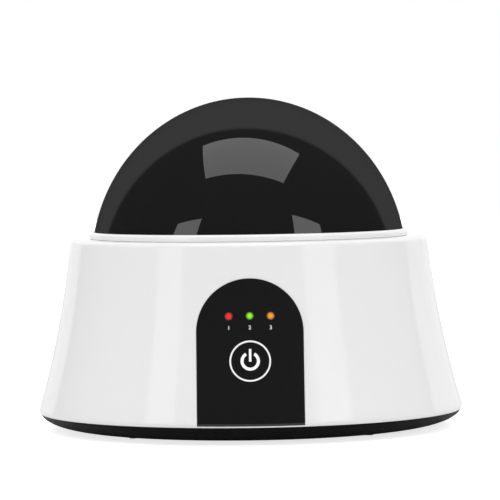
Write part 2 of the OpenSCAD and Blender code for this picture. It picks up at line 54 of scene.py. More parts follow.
# %% [markdown]
# ## The camera
#
# The photograph is taken from a long way off with a long lens, so the machine shows almost no
# perspective: its flat top edges are ellipses only a few pixels high. The row of the picture
# where those ellipses would close to a line is eye level. From it come the height of the eye
# and the tilt. The camera also leans a little, so the machine's left side sits lower.

# %% Camera
def placed(name, data):
    """A new object in the scene that shows data."""
    made = bpy.data.objects.new(name, data)
    bpy.context.scene.collection.objects.link(made)
    return made


FRAME_PIXELS = 500
SENSOR_WIDTH = 36
EYE_DISTANCE = 1694
EYE_HEIGHT = 154.5
EYE_LEVEL_ROW = 130
FOCAL_PIXELS = 3258
LEAN = math.radians(0.78)
AXIS_COLUMN = 248.8

tilt = math.atan((FRAME_PIXELS / 2 - EYE_LEVEL_ROW) / FOCAL_PIXELS)
forward = Vector((0, math.cos(tilt), -math.sin(tilt)))
upright = Vector((0, math.sin(tilt), math.cos(tilt)))
level_right = Vector((1, 0, 0))
right = level_right * math.cos(LEAN) - upright * math.sin(LEAN)
up = upright * math.cos(LEAN) + level_right * math.sin(LEAN)
aside = (FRAME_PIXELS / 2 - AXIS_COLUMN) * EYE_DISTANCE / FOCAL_PIXELS

camera = placed("camera", bpy.data.cameras.new("camera"))
camera.data.sensor_width = SENSOR_WIDTH
camera.data.lens = SENSOR_WIDTH * FOCAL_PIXELS / FRAME_PIXELS
camera.data.clip_end = 20
turned = Matrix((right, up, -forward)).transposed().to_4x4()
camera.matrix_world = Matrix.Translation(Vector((aside, -EYE_DISTANCE, EYE_HEIGHT)) * MM) @ turned
bpy.context.scene.camera = camera
print("camera: lens", round(camera.data.lens, 1), "mm, tilt", round(math.degrees(tilt), 2), "degrees")

# %% [markdown]
# ## Colours and nodes
#
# A colour given here is an sRGB value, but shaders work in linear light, so one function turns the first
# into the second. Another adds a node, sets it up and links it, for materials and Geometry Nodes alike.
# Every material below is built with these two.

# %% Colour and node helpers
def linear(code, alpha=1.0):
    """The linear colour of an sRGB hex code such as "E8E8E6"."""
    parts = [int(code[i:i + 2], 16) / 255 for i in (0, 2, 4)]
    return tuple(c / 12.92 if c <= 0.04045 else ((c + 0.055) / 1.055) ** 2.4 for c in parts) + (alpha,)


def add(tree, kind, inputs=None, **settings):
    """Adds a node. inputs gives a value, a node or a node's output for a socket's name or number."""
    made = tree.nodes.new(kind)
    for key, value in settings.items():
        setattr(made, key, value)
    for key, value in (inputs or {}).items():
        if isinstance(value, bpy.types.Node):
            value = value.outputs[0]
        if isinstance(value, bpy.types.NodeSocket):
            tree.links.new(value, made.inputs[key])
        else:
            made.inputs[key].default_value = value
    return made


def new_material(name, **constants):
    """A material with one Principled shader, and the shader's own sockets set to constants."""
    made = bpy.data.materials.new(name)
    made.use_nodes = True
    shader = made.node_tree.nodes["Principled BSDF"]
    for key, value in constants.items():
        shader.inputs[key.replace("_", " ")].default_value = value
    return made, made.node_tree, shader


def per_mm(size):
    """The scale of a noise whose marks are about size millimetres across."""
    return 1 / (size * MM)


# %% [markdown]
# ## What the pieces are made of
#
# Most of the machine is injection moulded plastic. Moulded plastic is never perfectly even:
# the colour drifts a little where it flowed, a finger or a cloth leaves the gloss uneven, and
# the steel mould gives it either a polish with a faint ripple or a fine spark-eroded grain.
# One function makes all of these from real sizes: how far apart the drift, the smears and the
# grain are in millimetres, and how deep the grain is.

# %% Moulded plastics, rubbers and coatings
NOISE_LOW, NOISE_HIGH = 0.3, 0.7


def weathered(finish, noises, light, dark, rough, depth):
    """Lets three noises drive a new material's colour, its roughness and its relief of depth mm."""
    made, tree, shader = finish
    tone = add(tree, "ShaderNodeMix", {"Factor": noises[0], 6: linear(dark), 7: linear(light)},
               data_type="RGBA")
    gloss = add(tree, "ShaderNodeMapRange", {"Value": noises[1], "From Min": NOISE_LOW,
                                             "From Max": NOISE_HIGH, "To Min": rough[0], "To Max": rough[1]})
    relief = add(tree, "ShaderNodeBump", {"Height": noises[2], "Distance": depth * MM, "Strength": 1.0})
    for result, socket in ((tone.outputs[2], "Base Color"), (gloss.outputs[0], "Roughness"),
                           (relief.outputs[0], "Normal")):
        tree.links.new(result, shader.inputs[socket])
    return made


def moulded(name, light, dark, rough, grain, depth, ior=1.5, drift=40, smear=18, stretch=(1, 1, 1), **more):
    """A material whose colour drifts from light to dark, whose gloss varies and whose grain has relief."""
    finish = new_material(name, IOR=ior, **more)
    tree = finish[1]
    place = add(tree, "ShaderNodeTexCoord").outputs["Object"]
    drawn = add(tree, "ShaderNodeMapping", {"Vector": place, "Scale": stretch})
    noises = [add(tree, "ShaderNodeTexNoise", {"Vector": drawn, "Scale": per_mm(size), "Detail": detail})
              for size, detail in ((drift, 2.0), (smear, 3.0), (grain, 2.0))]
    return weathered(finish, noises, light, dark, rough, depth)


# Polished mould: a hard shine with a ripple too shallow to see except in a reflection.
moulded("gloss_white_abs", "E6E6E6", "E3E3E3", (0.05, 0.09), 9, 0.002, ior=1.54)
# The ring on the lid has the housing's white made lighter: painted light that evens out the shade it gets
# beside its seam.
moulded("bright_white_abs", "EFEFEF", "ECECEC", (0.05, 0.09), 9, 0.002, ior=1.54)
# Black acrylic sheet, cast against glass: the deepest shine on the machine.
moulded("piano_black_acrylic", "1B1B1C", "171718", (0.0, 0.003), 14, 0.002, ior=1.49)
# Polycarbonate tinted so deep that it reads as black, polished inside and out.
moulded("smoked_polycarbonate", "1A1A1A", "181818", (0.0, 0.003), 30, 0.002, ior=1.5)
# Spark-eroded mould: a fine even grain, drawn at 0.8 mm so that it shows.
moulded("grained_black_abs", "0A0A0B", "060607", (0.38, 0.5), 0.8, 0.02, Specular_IOR_Level=0.08)
moulded("glossy_black_nylon", "1E1E20", "161618", (0.25, 0.35), 1.5, 0.01)
# Satin white polypropylene, slightly waxy.
moulded("satin_polypropylene", "E4E4E0", "DCDCD7", (0.36, 0.46), 2.5, 0.01, ior=1.49)
# Soft silicones keep dust and have a fine matt skin.
moulded("grey_silicone", "66666A", "57575B", (0.5, 0.62), 0.9, 0.03, ior=1.43)
moulded("black_silicone", "1C1C1D", "141415", (0.42, 0.55), 1.2, 0.015, ior=1.43)
moulded("red_silicone", "A8482C", "983C22", (0.5, 0.6), 1.2, 0.015, ior=1.43)
moulded("foot_rubber", "2A2A2A", "202020", (0.6, 0.75), 0.7, 0.04)
moulded("printed_white", "FAFAFA", "F6F6F6", (0.3, 0.4), 0.4, 0.004)
moulded("natural_nylon", "E2DCC6", "D6CFB6", (0.35, 0.45), 1.5, 0.01)
moulded("green_polyamide", "3F8A46", "2F7436", (0.35, 0.45), 1.5, 0.01)
moulded("blue_polyester", "2A6DB5", "205A9A", (0.25, 0.35), 1.5, 0.01)
moulded("capacitor_sleeve", "2B2B33", "1F1F26", (0.2, 0.3), 2, 0.005)
moulded("mica_sheet", "B39C6E", "8D7748", (0.35, 0.5), 0.6, 0.02, drift=6)
moulded("fibre_board", "CFC6A8", "BDB291", (0.7, 0.85), 0.5, 0.04, drift=5)
moulded("solder_mask", "1F6A38", "17552C", (0.2, 0.32), 1.1, 0.006, drift=5)
moulded("grey_ribbon", "C9C9CB", "B4B4B8", (0.4, 0.5), 1.3, 0.05, stretch=(1, 0.05, 0.05))
moulded("brown_lead", "6B4024", "5A331B", (0.35, 0.45), 1, 0.01)
moulded("red_lead", "A02A22", "8A1F19", (0.45, 0.55), 1, 0.01)
moulded("clear_tube", "DCE4E8", "CBD6DC", (0.03, 0.06), 3, 0.002, Transmission_Weight=0.7)
moulded("led_epoxy", "E6E2D6", "DAD5C6", (0.1, 0.16), 1, 0.002, Transmission_Weight=0.3)
print("plastics, rubbers and coatings:", len(bpy.data.materials))

# %% [markdown]
# Metal shows how it was worked. A plated screw is rolled and then plated, so its sparkle is
# fine and even. A drawn bowl is spun against a pad, so its scratches are rings round its axis.
# A ring pattern needs the distance from the axis, which is the length of the Object
# coordinate's X and Y, and a noise read along that distance alone is a set of rings.

# %% Metals
def worked_metal(name, light, dark, rough, size, depth, ringed=False):
    """A metal whose grain, or whose circular scratches where it is ringed, are size mm apart."""
    finish = new_material(name, Metallic=1.0)
    tree = finish[1]
    place = add(tree, "ShaderNodeTexCoord").outputs["Object"]
    if ringed:
        parts = add(tree, "ShaderNodeSeparateXYZ", {0: place}).outputs
        flat = add(tree, "ShaderNodeCombineXYZ", {0: parts[0], 1: parts[1]})
        reach = add(tree, "ShaderNodeVectorMath", {0: flat}, operation="LENGTH").outputs["Value"]
        place = add(tree, "ShaderNodeCombineXYZ", {0: reach, 2: parts[2]})
    worn = add(tree, "ShaderNodeTexNoise", {"Vector": place, "Scale": per_mm(size), "Detail": 4.0})
    return weathered(finish, [worn] * 3, light, dark, rough, depth)


worked_metal("spun_stainless", "D2D3D4", "B9BABC", (0.2, 0.34), 0.7, 0.004, ringed=True)
worked_metal("turned_aluminium", "D6D8DA", "C2C4C8", (0.3, 0.42), 0.9, 0.006, ringed=True)
worked_metal("zinc_plate", "CBCCCE", "AFB1B5", (0.25, 0.4), 0.6, 0.004)
worked_metal("nickel_plate", "D8CFB4", "C4B78F", (0.16, 0.26), 0.8, 0.002)
worked_metal("copper_winding", "C77B45", "9F5A2C", (0.28, 0.4), 0.5, 0.05)
print("metals done; materials in all:", len(bpy.data.materials))

# %% [markdown]
# ## Lamps
#
# Each lamp is a coloured epoxy lens with a chip behind it, so it glows brightest in the middle
# and fades at the rim. The lens mesh carries an attribute named reach, 0 in the middle and 1 at
# the rim, and the glow follows it. Painting the fade into the mesh keeps it in place from every
# side, which a trick with the viewing angle would not.

# %% Lamp materials
def glowing(name, core, rim):
    """Lit epoxy: glows in the core colour and fades to the rim colour along the attribute reach."""
    made, tree, shader = new_material(name, IOR=1.5, Roughness=0.12, Base_Color=linear(rim),
                                      Emission_Strength=1.0)
    reach = add(tree, "ShaderNodeAttribute", attribute_name="reach").outputs["Fac"]
    fade = add(tree, "ShaderNodeMapRange", {"Value": reach, "From Min": 0.3, "From Max": 1.0},
               interpolation_type="SMOOTHSTEP")
    tint = add(tree, "ShaderNodeMix", {"Factor": fade, 6: linear(core), 7: linear(rim)}, data_type="RGBA")
    tree.links.new(tint.outputs[2], shader.inputs["Emission Color"])


glowing("lit_red_epoxy", "F11B24", "6A1218")
glowing("lit_green_epoxy", "8EED10", "2F5E10")
glowing("lit_amber_epoxy", "EE951C", "6E4210")
print("lamps:", [m.name for m in bpy.data.materials if m.name.startswith("lit_")])

# %% [markdown]
# ## Shaping helpers
#
# Nearly every piece here is round, so a lathe is the main tool: an outline of radius and height
# is turned about the machine's axis. Other pieces are a flat outline pulled into a block, or a
# row of sections joined by a loft, and all three come down to the loft. Corners on real
# mouldings are never sharp, so one helper puts a radius on each corner of an outline first.

# %% Outlines
def arc(centre, radius, start, end, steps):
    """Points of an arc about centre, from angle start to angle end in degrees."""
    angles = [math.radians(start + (end - start) * i / steps) for i in range(steps + 1)]
    return [(centre[0] + radius * math.cos(a), centre[1] + radius * math.sin(a)) for a in angles]


def rounded(corners, steps=4):
    """An outline from corners of (x, y, radius), each corner replaced by an arc of its radius."""
    points = []
    for i, (x, y, radius) in enumerate(corners):
        here = Vector((x, y))
        before = (Vector(corners[i - 1][:2]) - here).normalized()
        after = (Vector(corners[(i + 1) % len(corners)][:2]) - here).normalized()
        half = before.angle(after) / 2
        if radius <= 0 or half < 0.01 or half > math.pi / 2 - 0.01:
            points.append((x, y))
            continue
        centre = here + (before + after).normalized() * radius / math.sin(half)
        start = here + before * radius / math.tan(half) - centre
        turn = start.angle_signed(here + after * radius / math.tan(half) - centre)
        for k in range(steps + 1):
            spin = Matrix.Rotation(-turn * k / steps, 2)
            points.append(tuple(centre + spin @ start))
    return points


def rectangle(x0, x1, y0, y1, radius=0.0, steps=4):
    """A rectangle's outline with its corners rounded."""
    return rounded([(x0, y0, radius), (x1, y0, radius), (x1, y1, radius), (x0, y1, radius)], steps)


def circle(radius, steps, u=0.0, v=0.0):
    return arc((u, v), radius, 0, 360, steps)[:-1]


# %% Lathe, block and loft
def tidied(piece):
    """Merges doubles, drops edges with no face and turns faces outwards."""
    work = bmesh.new()
    work.from_mesh(piece.data)
    bmesh.ops.remove_doubles(work, verts=work.verts, dist=1e-7)
    bmesh.ops.dissolve_degenerate(work, edges=work.edges, dist=1e-7)
    bmesh.ops.delete(work, geom=[e for e in work.edges if not e.link_faces], context="EDGES")
    bmesh.ops.recalc_face_normals(work, faces=work.faces)
    work.to_mesh(piece.data)
    work.free()
    return piece


def mesh_object(name, points, faces):
    """An object at the origin from points in millimetres."""
    mesh = bpy.data.meshes.new(name)
    mesh.from_pydata([[c * MM for c in p] for p in points], [], faces)
    return placed(name, mesh)


def loft(name, sections, closed=False):
    """Joins sections with the same number of points, each a closed loop, and caps the ends."""
    n, m = len(sections[0]), len(sections)
    points = [p for s in sections for p in s]
    faces = [(k * n + i, k * n + (i + 1) % n, (k + 1) % m * n + (i + 1) % n, (k + 1) % m * n + i)
             for k in range(m if closed else m - 1) for i in range(n)]
    if not closed:
        faces += [tuple(range(n)), tuple(range(m * n - 1, (m - 1) * n - 1, -1))]
    return tidied(mesh_object(name, points, faces))


def along_z(x, y, h):
    """Where a point of a flat outline goes when the outline is pulled along Z. Y and X are alike."""
    return x, y, h


def along_y(x, z, h):
    return x, h, z


def along_x(y, z, h):
    return h, y, z


def block(name, outline, place, low, high):
    """A closed outline of (x, y) pulled from low to high. place turns (x, y, height) into a point."""
    return loft(name, [[place(x, y, h) for x, y in outline] for h in (low, high)])


def lathe(name, outline, turns=192, place=along_z):
    """A closed outline of (radius, height) turned about the machine's axis, or the one of place."""
    angles = [2 * math.pi * k / turns for k in range(turns)]
    sections = [[place(r * math.cos(a), r * math.sin(a), z) for r, z in outline] for a in angles]
    return loft(name, sections, closed=True)


# %% [markdown]
# Holes are cut with booleans. A boolean leaves long thin faces round a hole, and on a curved
# glossy wall they would show as dark streaks. So a copy is kept from before the cut, and each
# face corner that still lies on the old surface takes its shading normal back from that copy.

# %% Cutting, joining and shading helpers
SHARP = math.radians(32)


def smooth(piece):
    """Smooth shading, with edges past the SHARP angle kept crisp."""
    piece.data.shade_smooth()
    piece.data.set_sharp_from_angle(angle=SHARP)
    return piece


def plain_mesh(piece):
    """What an object's modifiers or letters make, as a plain mesh."""
    return bpy.data.meshes.new_from_object(piece.evaluated_get(bpy.context.evaluated_depsgraph_get()))


def baked(piece):
    """Keeps what a piece's modifiers make as its own mesh."""
    ready = plain_mesh(piece)
    piece.modifiers.clear()
    piece.data = ready
    return piece


def combine(piece, other, operation):
    """Applies a boolean with another object, which is used up."""
    step = piece.modifiers.new("combine", "BOOLEAN")
    step.object = other
    step.operation = operation
    step.solver = "MANIFOLD"
    baked(piece)
    bpy.data.objects.remove(other)
    return piece


def cut(piece, other):
    return combine(piece, other, "DIFFERENCE")


def fuse(piece, other):
    return combine(piece, other, "UNION")


def join(name, pieces):
    """One object with the meshes of all pieces as separate shells. The pieces are used up."""
    work = bmesh.new()
    for piece in pieces:
        work.from_mesh(piece.data)
    made = placed(name, bpy.data.meshes.new(name))
    work.to_mesh(made.data)
    work.free()
    for piece in pieces:
        bpy.data.objects.remove(piece)
    return made


def shading_guide(piece):
    """A smoothly shaded copy of piece from before its holes are cut."""
    return smooth(placed("guide", piece.data.copy()))


def keep_shading(piece, guide):
    """Smooths piece, and gives it guide's normals wherever their surfaces agree. guide is used up."""
    smooth(piece)
    source = guide.data
    source.calc_loop_triangles()
    corner = [Vector(n.vector) for n in source.corner_normals]
    spots = [v.co.copy() for v in source.vertices]
    triangles = [tuple(t.vertices) for t in source.loop_triangles]
    loops = [tuple(t.loops) for t in source.loop_triangles]
    flat = [Vector(t.normal) for t in source.loop_triangles]
    finder = BVHTree.FromPolygons(spots, triangles)
    own = [Vector(n.vector) for n in piece.data.corner_normals]
    mesh = piece.data
    for face in mesh.polygons:
        for index in face.loop_indices:
            at = mesh.vertices[mesh.loops[index].vertex_index].co
            found, _, hit, away = finder.find_nearest(at.lerp(face.center, 0.02))
            if hit is None or away > 0.03 * MM or flat[hit].dot(face.normal) < 0.9:
                continue
            a, b, c = (spots[i] for i in triangles[hit])
            whole = (b - a).cross(c - a).length
            share = [(p - found).cross(q - found).length / whole for p, q in ((b, c), (c, a))]
            share.append(max(0.0, 1 - sum(share)))
            own[index] = sum((corner[i] * s for i, s in zip(loops[hit], share)), Vector()).normalized()
    mesh.normals_split_custom_set([tuple(n) for n in own])
    bpy.data.objects.remove(guide)
    return piece


def hand_over(piece, finish, body, slot, *nodes):
    """Gives a piece its finish, says which body it rides on and which CAD nodes it stands for."""
    piece.data.materials.clear()
    piece.data.materials.append(bpy.data.materials[finish])
    piece.data.polygons.foreach_set("material_index", [0] * len(piece.data.polygons))
    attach(piece, body)
    if nodes:
        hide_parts(*nodes)
    print(f"{piece.name}: {len(piece.data.polygons)} faces on {body}")


# %% [markdown]
# ## The housing
#
# The housing is one white ABS moulding. Its side is a long hollow sweep: wide at the foot,
# narrow at the shoulder, with a small round at both ends. Because it is round in plan, its side
# is an outline that the lathe turns. The sweep's centre follows from the two rounds that it
# joins, so it is worked out from them and not typed in.

# %% Sizes of the housing
WIDEST_R, WIDEST_Z = 110, 11
SHOULDER_R, SHOULDER_Z = 93, 99.2
FLARE_R, CORNER_R, WALL = 450, 3, 2.6
RIM_ANGLE = -34
FLANGE_R, FLANGE_Z = 81.2, SHOULDER_Z - 2
corner_low = Vector((WIDEST_R - CORNER_R, WIDEST_Z))
corner_top = Vector((SHOULDER_R - CORNER_R, SHOULDER_Z - CORNER_R))
rise = corner_top - corner_low
lean_middle = math.degrees(math.atan2(-rise.x, rise.y))
lean_half = math.degrees(math.asin(rise.length / 2 / (FLARE_R + CORNER_R)))
lean_low, lean_top = lean_middle + lean_half, lean_middle - lean_half
flare_centre = Vector(arc(corner_low, FLARE_R + CORNER_R, lean_low, lean_low, 1)[0])
RIM_R, RIM_Z = arc(corner_low, CORNER_R, RIM_ANGLE, RIM_ANGLE, 1)[0]


def housing_side(inset):
    """The housing's side from its rim up to its shoulder, moved inwards by inset."""
    hollow = arc(flare_centre, -(FLARE_R + inset), lean_low, lean_top, 30)[1:-1]
    return (arc(corner_low, CORNER_R - inset, RIM_ANGLE, lean_low, 8) + hollow
            + arc(corner_top, CORNER_R - inset, lean_top, 90, 8))


def housing_solid(name, inset):
    """Everything inside the housing's surface moved inwards by inset."""
    side = housing_side(inset)
    return lathe(name, [(0, side[0][1])] + side + [(0, side[-1][1])], 256)


print("flare centre", tuple(round(c, 2) for c in flare_centre), "rim", round(RIM_R, 2), round(RIM_Z, 2))

# %% [markdown]
# ## The front panel's own frame
#
# The panel, key, lamps and marks all follow the housing's hollow side. They are drawn flat, as
# (u, v) seen square on to the key, and each point is then pushed along the key's axis until it
# is a given lift above the housing. A curved plate made this way has exact edges and holes.

# %% Panel frame
KEY_Z = 41.4
key_lean = math.asin((flare_centre.y - KEY_Z) / FLARE_R)
key_centre = Vector((0, FLARE_R * math.cos(key_lean) - flare_centre.x, KEY_Z))
panel_up = Vector((0, math.sin(key_lean), math.cos(key_lean)))
panel_out = Vector((0, -math.cos(key_lean), math.sin(key_lean)))


def in_panel(u, v, w):
    """A point of the panel's frame, w out along the key's axis."""
    return key_centre + Vector((u, 0, 0)) + panel_up * v + panel_out * w


def side_reach(z, lift):
    """How far the housing's side, moved outwards by lift, is from the axis at height z."""
    corner = CORNER_R + lift
    if z < corner_low.y + corner * math.sin(math.radians(lean_low)):
        return corner_low.x + math.sqrt(corner ** 2 - (z - corner_low.y) ** 2)
    return flare_centre.x - math.sqrt((FLARE_R - lift) ** 2 - (flare_centre.y - z) ** 2)


def on_housing(u, v, lift):
    """The point of the panel's frame at (u, v) that lies lift above the housing's side."""
    w = lift
    for _ in range(12):
        spot = in_panel(u, v, w)
        w -= math.hypot(spot.x, spot.y) - side_reach(spot.z, lift)
    return in_panel(u, v, w)


def height_in_panel(x, z):
    """The v at which a point of the housing's side, seen from the front at (x, z), lies."""
    spot = Vector((x, -math.sqrt(side_reach(z, 0) ** 2 - x ** 2), z))
    return (spot - key_centre).dot(panel_up)


print("key axis leans back", round(math.degrees(key_lean), 2), "degrees")

# %% [markdown]
# A plate needs a fine, even mesh between its edges, or its reflections break up. Delaunay
# triangulation fills the space between the edge loops with a grid of points. The same triangles,
# turned over, make the underside, and a small round joins the two along every edge.

# %% Curved plates
def mitred(loop, inset):
    """A loop moved sideways by inset: inwards for an anticlockwise loop, outwards for a clockwise one."""
    moved = []
    for i, here in enumerate(loop):
        here = Vector(here)
        back = (here - Vector(loop[i - 1])).normalized()
        on = (Vector(loop[(i + 1) % len(loop)]) - here).normalized()
        n1, n2 = Vector((-back.y, back.x)), Vector((-on.y, on.x))
        moved.append(tuple(here + (n1 + n2) * inset / (1 + n1.dot(n2))))
    return moved


def within(points, loop):
    """Which points lie inside a loop, by counting crossings."""
    points, a = np.asarray(points), np.asarray(loop)
    b = np.roll(a, -1, axis=0)
    x, y = points[:, :1], points[:, 1:]
    crosses = (a[:, 1] > y) != (b[:, 1] > y)
    rise_y = np.where(b[:, 1] == a[:, 1], 1, b[:, 1] - a[:, 1])
    return (crosses & (x < a[:, 0] + (y - a[:, 1]) * (b[:, 0] - a[:, 0]) / rise_y)).sum(axis=1) % 2 == 1


def between(points, loops):
    """Which points lie inside the first loop and outside all the others."""
    kept = within(points, loops[0])
    for loop in loops[1:]:
        kept &= ~within(points, loop)
    return kept


def plate(name, rim, holes, low, high, edge, spacing):
    """A plate on the housing between two lifts. rim runs anticlockwise and every hole clockwise."""
    loops = [rim] + holes
    inner = [mitred(loop, edge) for loop in loops]
    flat = [p for loop in inner for p in loop]
    bounds, start = [], 0
    for loop in inner:
        bounds += [(start + i, start + (i + 1) % len(loop)) for i in range(len(loop))]
        start += len(loop)
    (u0, v0), (u1, v1) = np.min(rim, axis=0), np.max(rim, axis=0)
    grid = np.array([(u, v) for u in np.arange(u0, u1, spacing) for v in np.arange(v0, v1, spacing)])
    near = np.sqrt(((grid[:, None, :] - np.array(flat)[None]) ** 2).sum(axis=2)).min(axis=1)
    flat += [tuple(p) for p in grid[between(grid, inner) & (near > spacing * 0.5)]]
    spots, _, triangles, origin, _, _ = delaunay([Vector(p) for p in flat], bounds, [], 0, 1e-6, True)
    middle = np.array([np.mean([tuple(spots[i]) for i in t], axis=0) for t in triangles])
    top = [tuple(origin[i][0] for i in t) for t, k in zip(triangles, between(middle, inner)) if k]
    points = [on_housing(u, v, high) for u, v in flat]
    below = [p for loop in loops for p in loop] + flat[start:]
    base = len(points)
    points += [on_housing(u, v, low) for u, v in below]
    faces = top + [tuple(base + i for i in reversed(t)) for t in top]
    rows = [[base + i for i in range(start)]]
    for k in range(4):
        turn = math.radians(90 * k / 4)
        share, drop = 1 - math.cos(turn), edge * (1 - math.sin(turn))
        rows.append(list(range(len(points), len(points) + start)))
        points += [on_housing(u0 + (u1 - u0) * share, v0 + (v1 - v0) * share, high - drop)
                   for (u0, v0), (u1, v1) in zip(below, flat[:start])]
    rows.append(list(range(start)))
    faces += [(one[i], one[j], two[j], two[i]) for one, two in zip(rows, rows[1:]) for i, j in bounds]
    return tidied(mesh_object(name, points, faces))


# %% [markdown]
# ## Geometry Nodes for what repeats
#
# Vents, screws, feet and holes repeat by a rule, so the rule is built once as a node tree. A
# tree is grown on an empty mesh, with its named inputs set first, and the result is kept as a
# plain mesh. Copies are made real at the end, because a mesh that is handed on can't hold
# instances. Sums inside a tree take a node each, so one helper writes them as a nested formula.

# %% Growing a tree
def new_tree(name, **inputs):
    """A Geometry Nodes tree with named inputs, each given its first value or its kind of socket."""
    tree = bpy.data.node_groups.new(name, "GeometryNodeTree")
    kinds = {int: "Int", float: "Float", tuple: "Vector"}
    for label, value in inputs.items():
        kind = kinds.get(type(value), value)
        made = tree.interface.new_socket(name=label, in_out="INPUT", socket_type="NodeSocket" + kind)
        if kind != value:
            made.default_value = value
    tree.interface.new_socket(name="Geometry", in_out="OUTPUT", socket_type="NodeSocketGeometry")
    return tree, tree.nodes.new("NodeGroupInput").outputs


def chain(tree, kind, known, **results):
    """Adds nodes for nested sums: (operation, terms), where a term is a sum, a known name or a number."""
    def worked_out(term):
        if not isinstance(term, tuple):
            return known.get(term, term)
        return add(tree, kind, dict(enumerate(map(worked_out, term[1:]))), operation=term[0])

    for name, term in results.items():
        known[name] = worked_out(term)
    return known


def copies_on(tree, given, points, **more):
    """A copy of the tree's Shape on every point."""
    shape = add(tree, "GeometryNodeObjectInfo", {"Object": given["Shape"]}).outputs["Geometry"]
    return add(tree, "GeometryNodeInstanceOnPoints", {"Points": points, "Instance": shape, **more})


def close_tree(tree, given, shape):
    """Ends a tree: copies made real, the Finish set, and the result sent out."""
    real = add(tree, "GeometryNodeRealizeInstances", {0: shape})
    done = add(tree, "GeometryNodeSetMaterial", {0: real, "Material": given["Finish"]})
    add(tree, "NodeGroupOutput", {0: done})


def grow(name, tree, finish, **values):
    """The plain mesh that a tree makes with these values."""
    holder = placed(name, bpy.data.meshes.new(name))
    step = holder.modifiers.new("grow", "NODES")
    step.node_group = tree
    values["Finish"] = bpy.data.materials[finish]
    for item in tree.interface.items_tree:
        if item.in_out == "INPUT" and item.name in values:
            step[item.identifier] = values[item.name]
    return baked(holder)


# %% Trees for a row and a ring of copies
row_tree, given = new_tree("row_of_copies", Shape="Object", Count=5, Step=(0, 0, 0), Finish="Material")
line = add(row_tree, "GeometryNodeMeshLine", {"Count": given["Count"], "Offset": given["Step"]})
close_tree(row_tree, given, copies_on(row_tree, given, line))

ring_tree, given = new_tree("ring_of_copies", Shape="Object", Count=4, Radius=0.08, Start=0.0,
                            Finish="Material")
points = add(ring_tree, "GeometryNodeMeshCircle", {"Vertices": given["Count"], "Radius": given["Radius"]})
index = add(ring_tree, "GeometryNodeInputIndex")
found = chain(ring_tree, "ShaderNodeMath", dict(given.items(), index=index),
              turn=("MULTIPLY", ("DIVIDE", "index", "Count"), 2 * math.pi))
spin = add(ring_tree, "ShaderNodeCombineXYZ", {2: found["turn"]})
start = add(ring_tree, "ShaderNodeCombineXYZ", {2: given["Start"]})
copies = copies_on(ring_tree, given, points, Rotation=spin)
turned = add(ring_tree, "GeometryNodeTransform", {"Geometry": copies, "Rotation": start})
close_tree(ring_tree, given, turned)
def four_of(shape, name, radius, finish):
    """Four copies of shape, each that far from the axis and between its X and Y. shape is used up."""
    made = grow(name, ring_tree, finish, Shape=shape, Count=4, Radius=radius * MM, Start=math.radians(45))
    bpy.data.objects.remove(shape)
    return made


print("trees:", [t.name for t in bpy.data.node_groups])

# %% [markdown]
# ## Making the housing
#
# The lathe gives the shell with its wall, shoulder and seat for the chamber. Added to it are the
# pocket for the mains socket, the three ears that hold the hinge pin, the bosses for the base
# screws and the posts for the control board. Then the recess for the panel, the holes for the
# key and lamps, and the pocket's window are cut.

# %% Housing shell
SEAT_R, SEAT_OUT, SEAT_T, SEAT_GAP, RIM_INSIDE_Z = 78, 84, 2.4, 0.3, 12.7
inside = [p for p in housing_side(WALL) if p[1] > RIM_INSIDE_Z + 0.1][::-1]
section = housing_side(0) + [
    (FLANGE_R + SEAT_GAP, SHOULDER_Z), (FLANGE_R + SEAT_GAP, FLANGE_Z), (SEAT_R, FLANGE_Z),
    (SEAT_R, FLANGE_Z - SEAT_T), (SEAT_OUT, FLANGE_Z - SEAT_T), (SEAT_OUT, SHOULDER_Z - WALL)] + inside + [
    (RIM_R - WALL, RIM_INSIDE_Z), (RIM_R - WALL, RIM_Z)]
housing = lathe("housing", section, 256)
shell_guide = shading_guide(housing)

INLET_Y, INLET_Z = 102.4, 26


def slab(name, place, x0, x1, y0, y1, low, high, radius=0.0, steps=4):
    """A rounded rectangle pulled from low to high along the way that place gives."""
    return block(name, rectangle(x0, x1, y0, y1, radius, steps), place, low, high)


def inlet_block(name, half_x, half_z, y0, y1, radius=0.0, steps=4):
    """A rounded block along Y round the middle of the power inlet."""
    return slab(name, along_y, -half_x, half_x, INLET_Z - half_z, INLET_Z + half_z, y0, y1, radius, steps)


tray = inlet_block("tray", 16, 11.5, INLET_Y - 2, 114, 3)
combine(tray, housing_solid("shape", 0.01), "INTERSECT")
fuse(housing, tray)
print("shell and pocket:", len(housing.data.polygons), "faces")

# %% [markdown]
# The ears stand on the shoulder behind the dome, each an upright block under a round eye. The
# lid's two knuckles fit between them with 0.2 mm to spare on either side.

# %% Hinge ears, bosses and posts
HINGE_Y, HINGE_Z = 85.6, SHOULDER_Z + 3.2
KNUCKLE_R, PIN_R = 2.7, 1.25
eye = arc((HINGE_Y, HINGE_Z), KNUCKLE_R, 0, 180, 24) + [
    (HINGE_Y - KNUCKLE_R, SHOULDER_Z - WALL / 2), (HINGE_Y + KNUCKLE_R, SHOULDER_Z - WALL / 2)]
for x0, x1 in ((-22, -18), (-5, 5), (18, 22)):
    fuse(housing, block("ear", eye, along_x, x0, x1))
cut(housing, block("pin_hole", circle(PIN_R, 48, HINGE_Y, HINGE_Z), along_x, -40, 40))

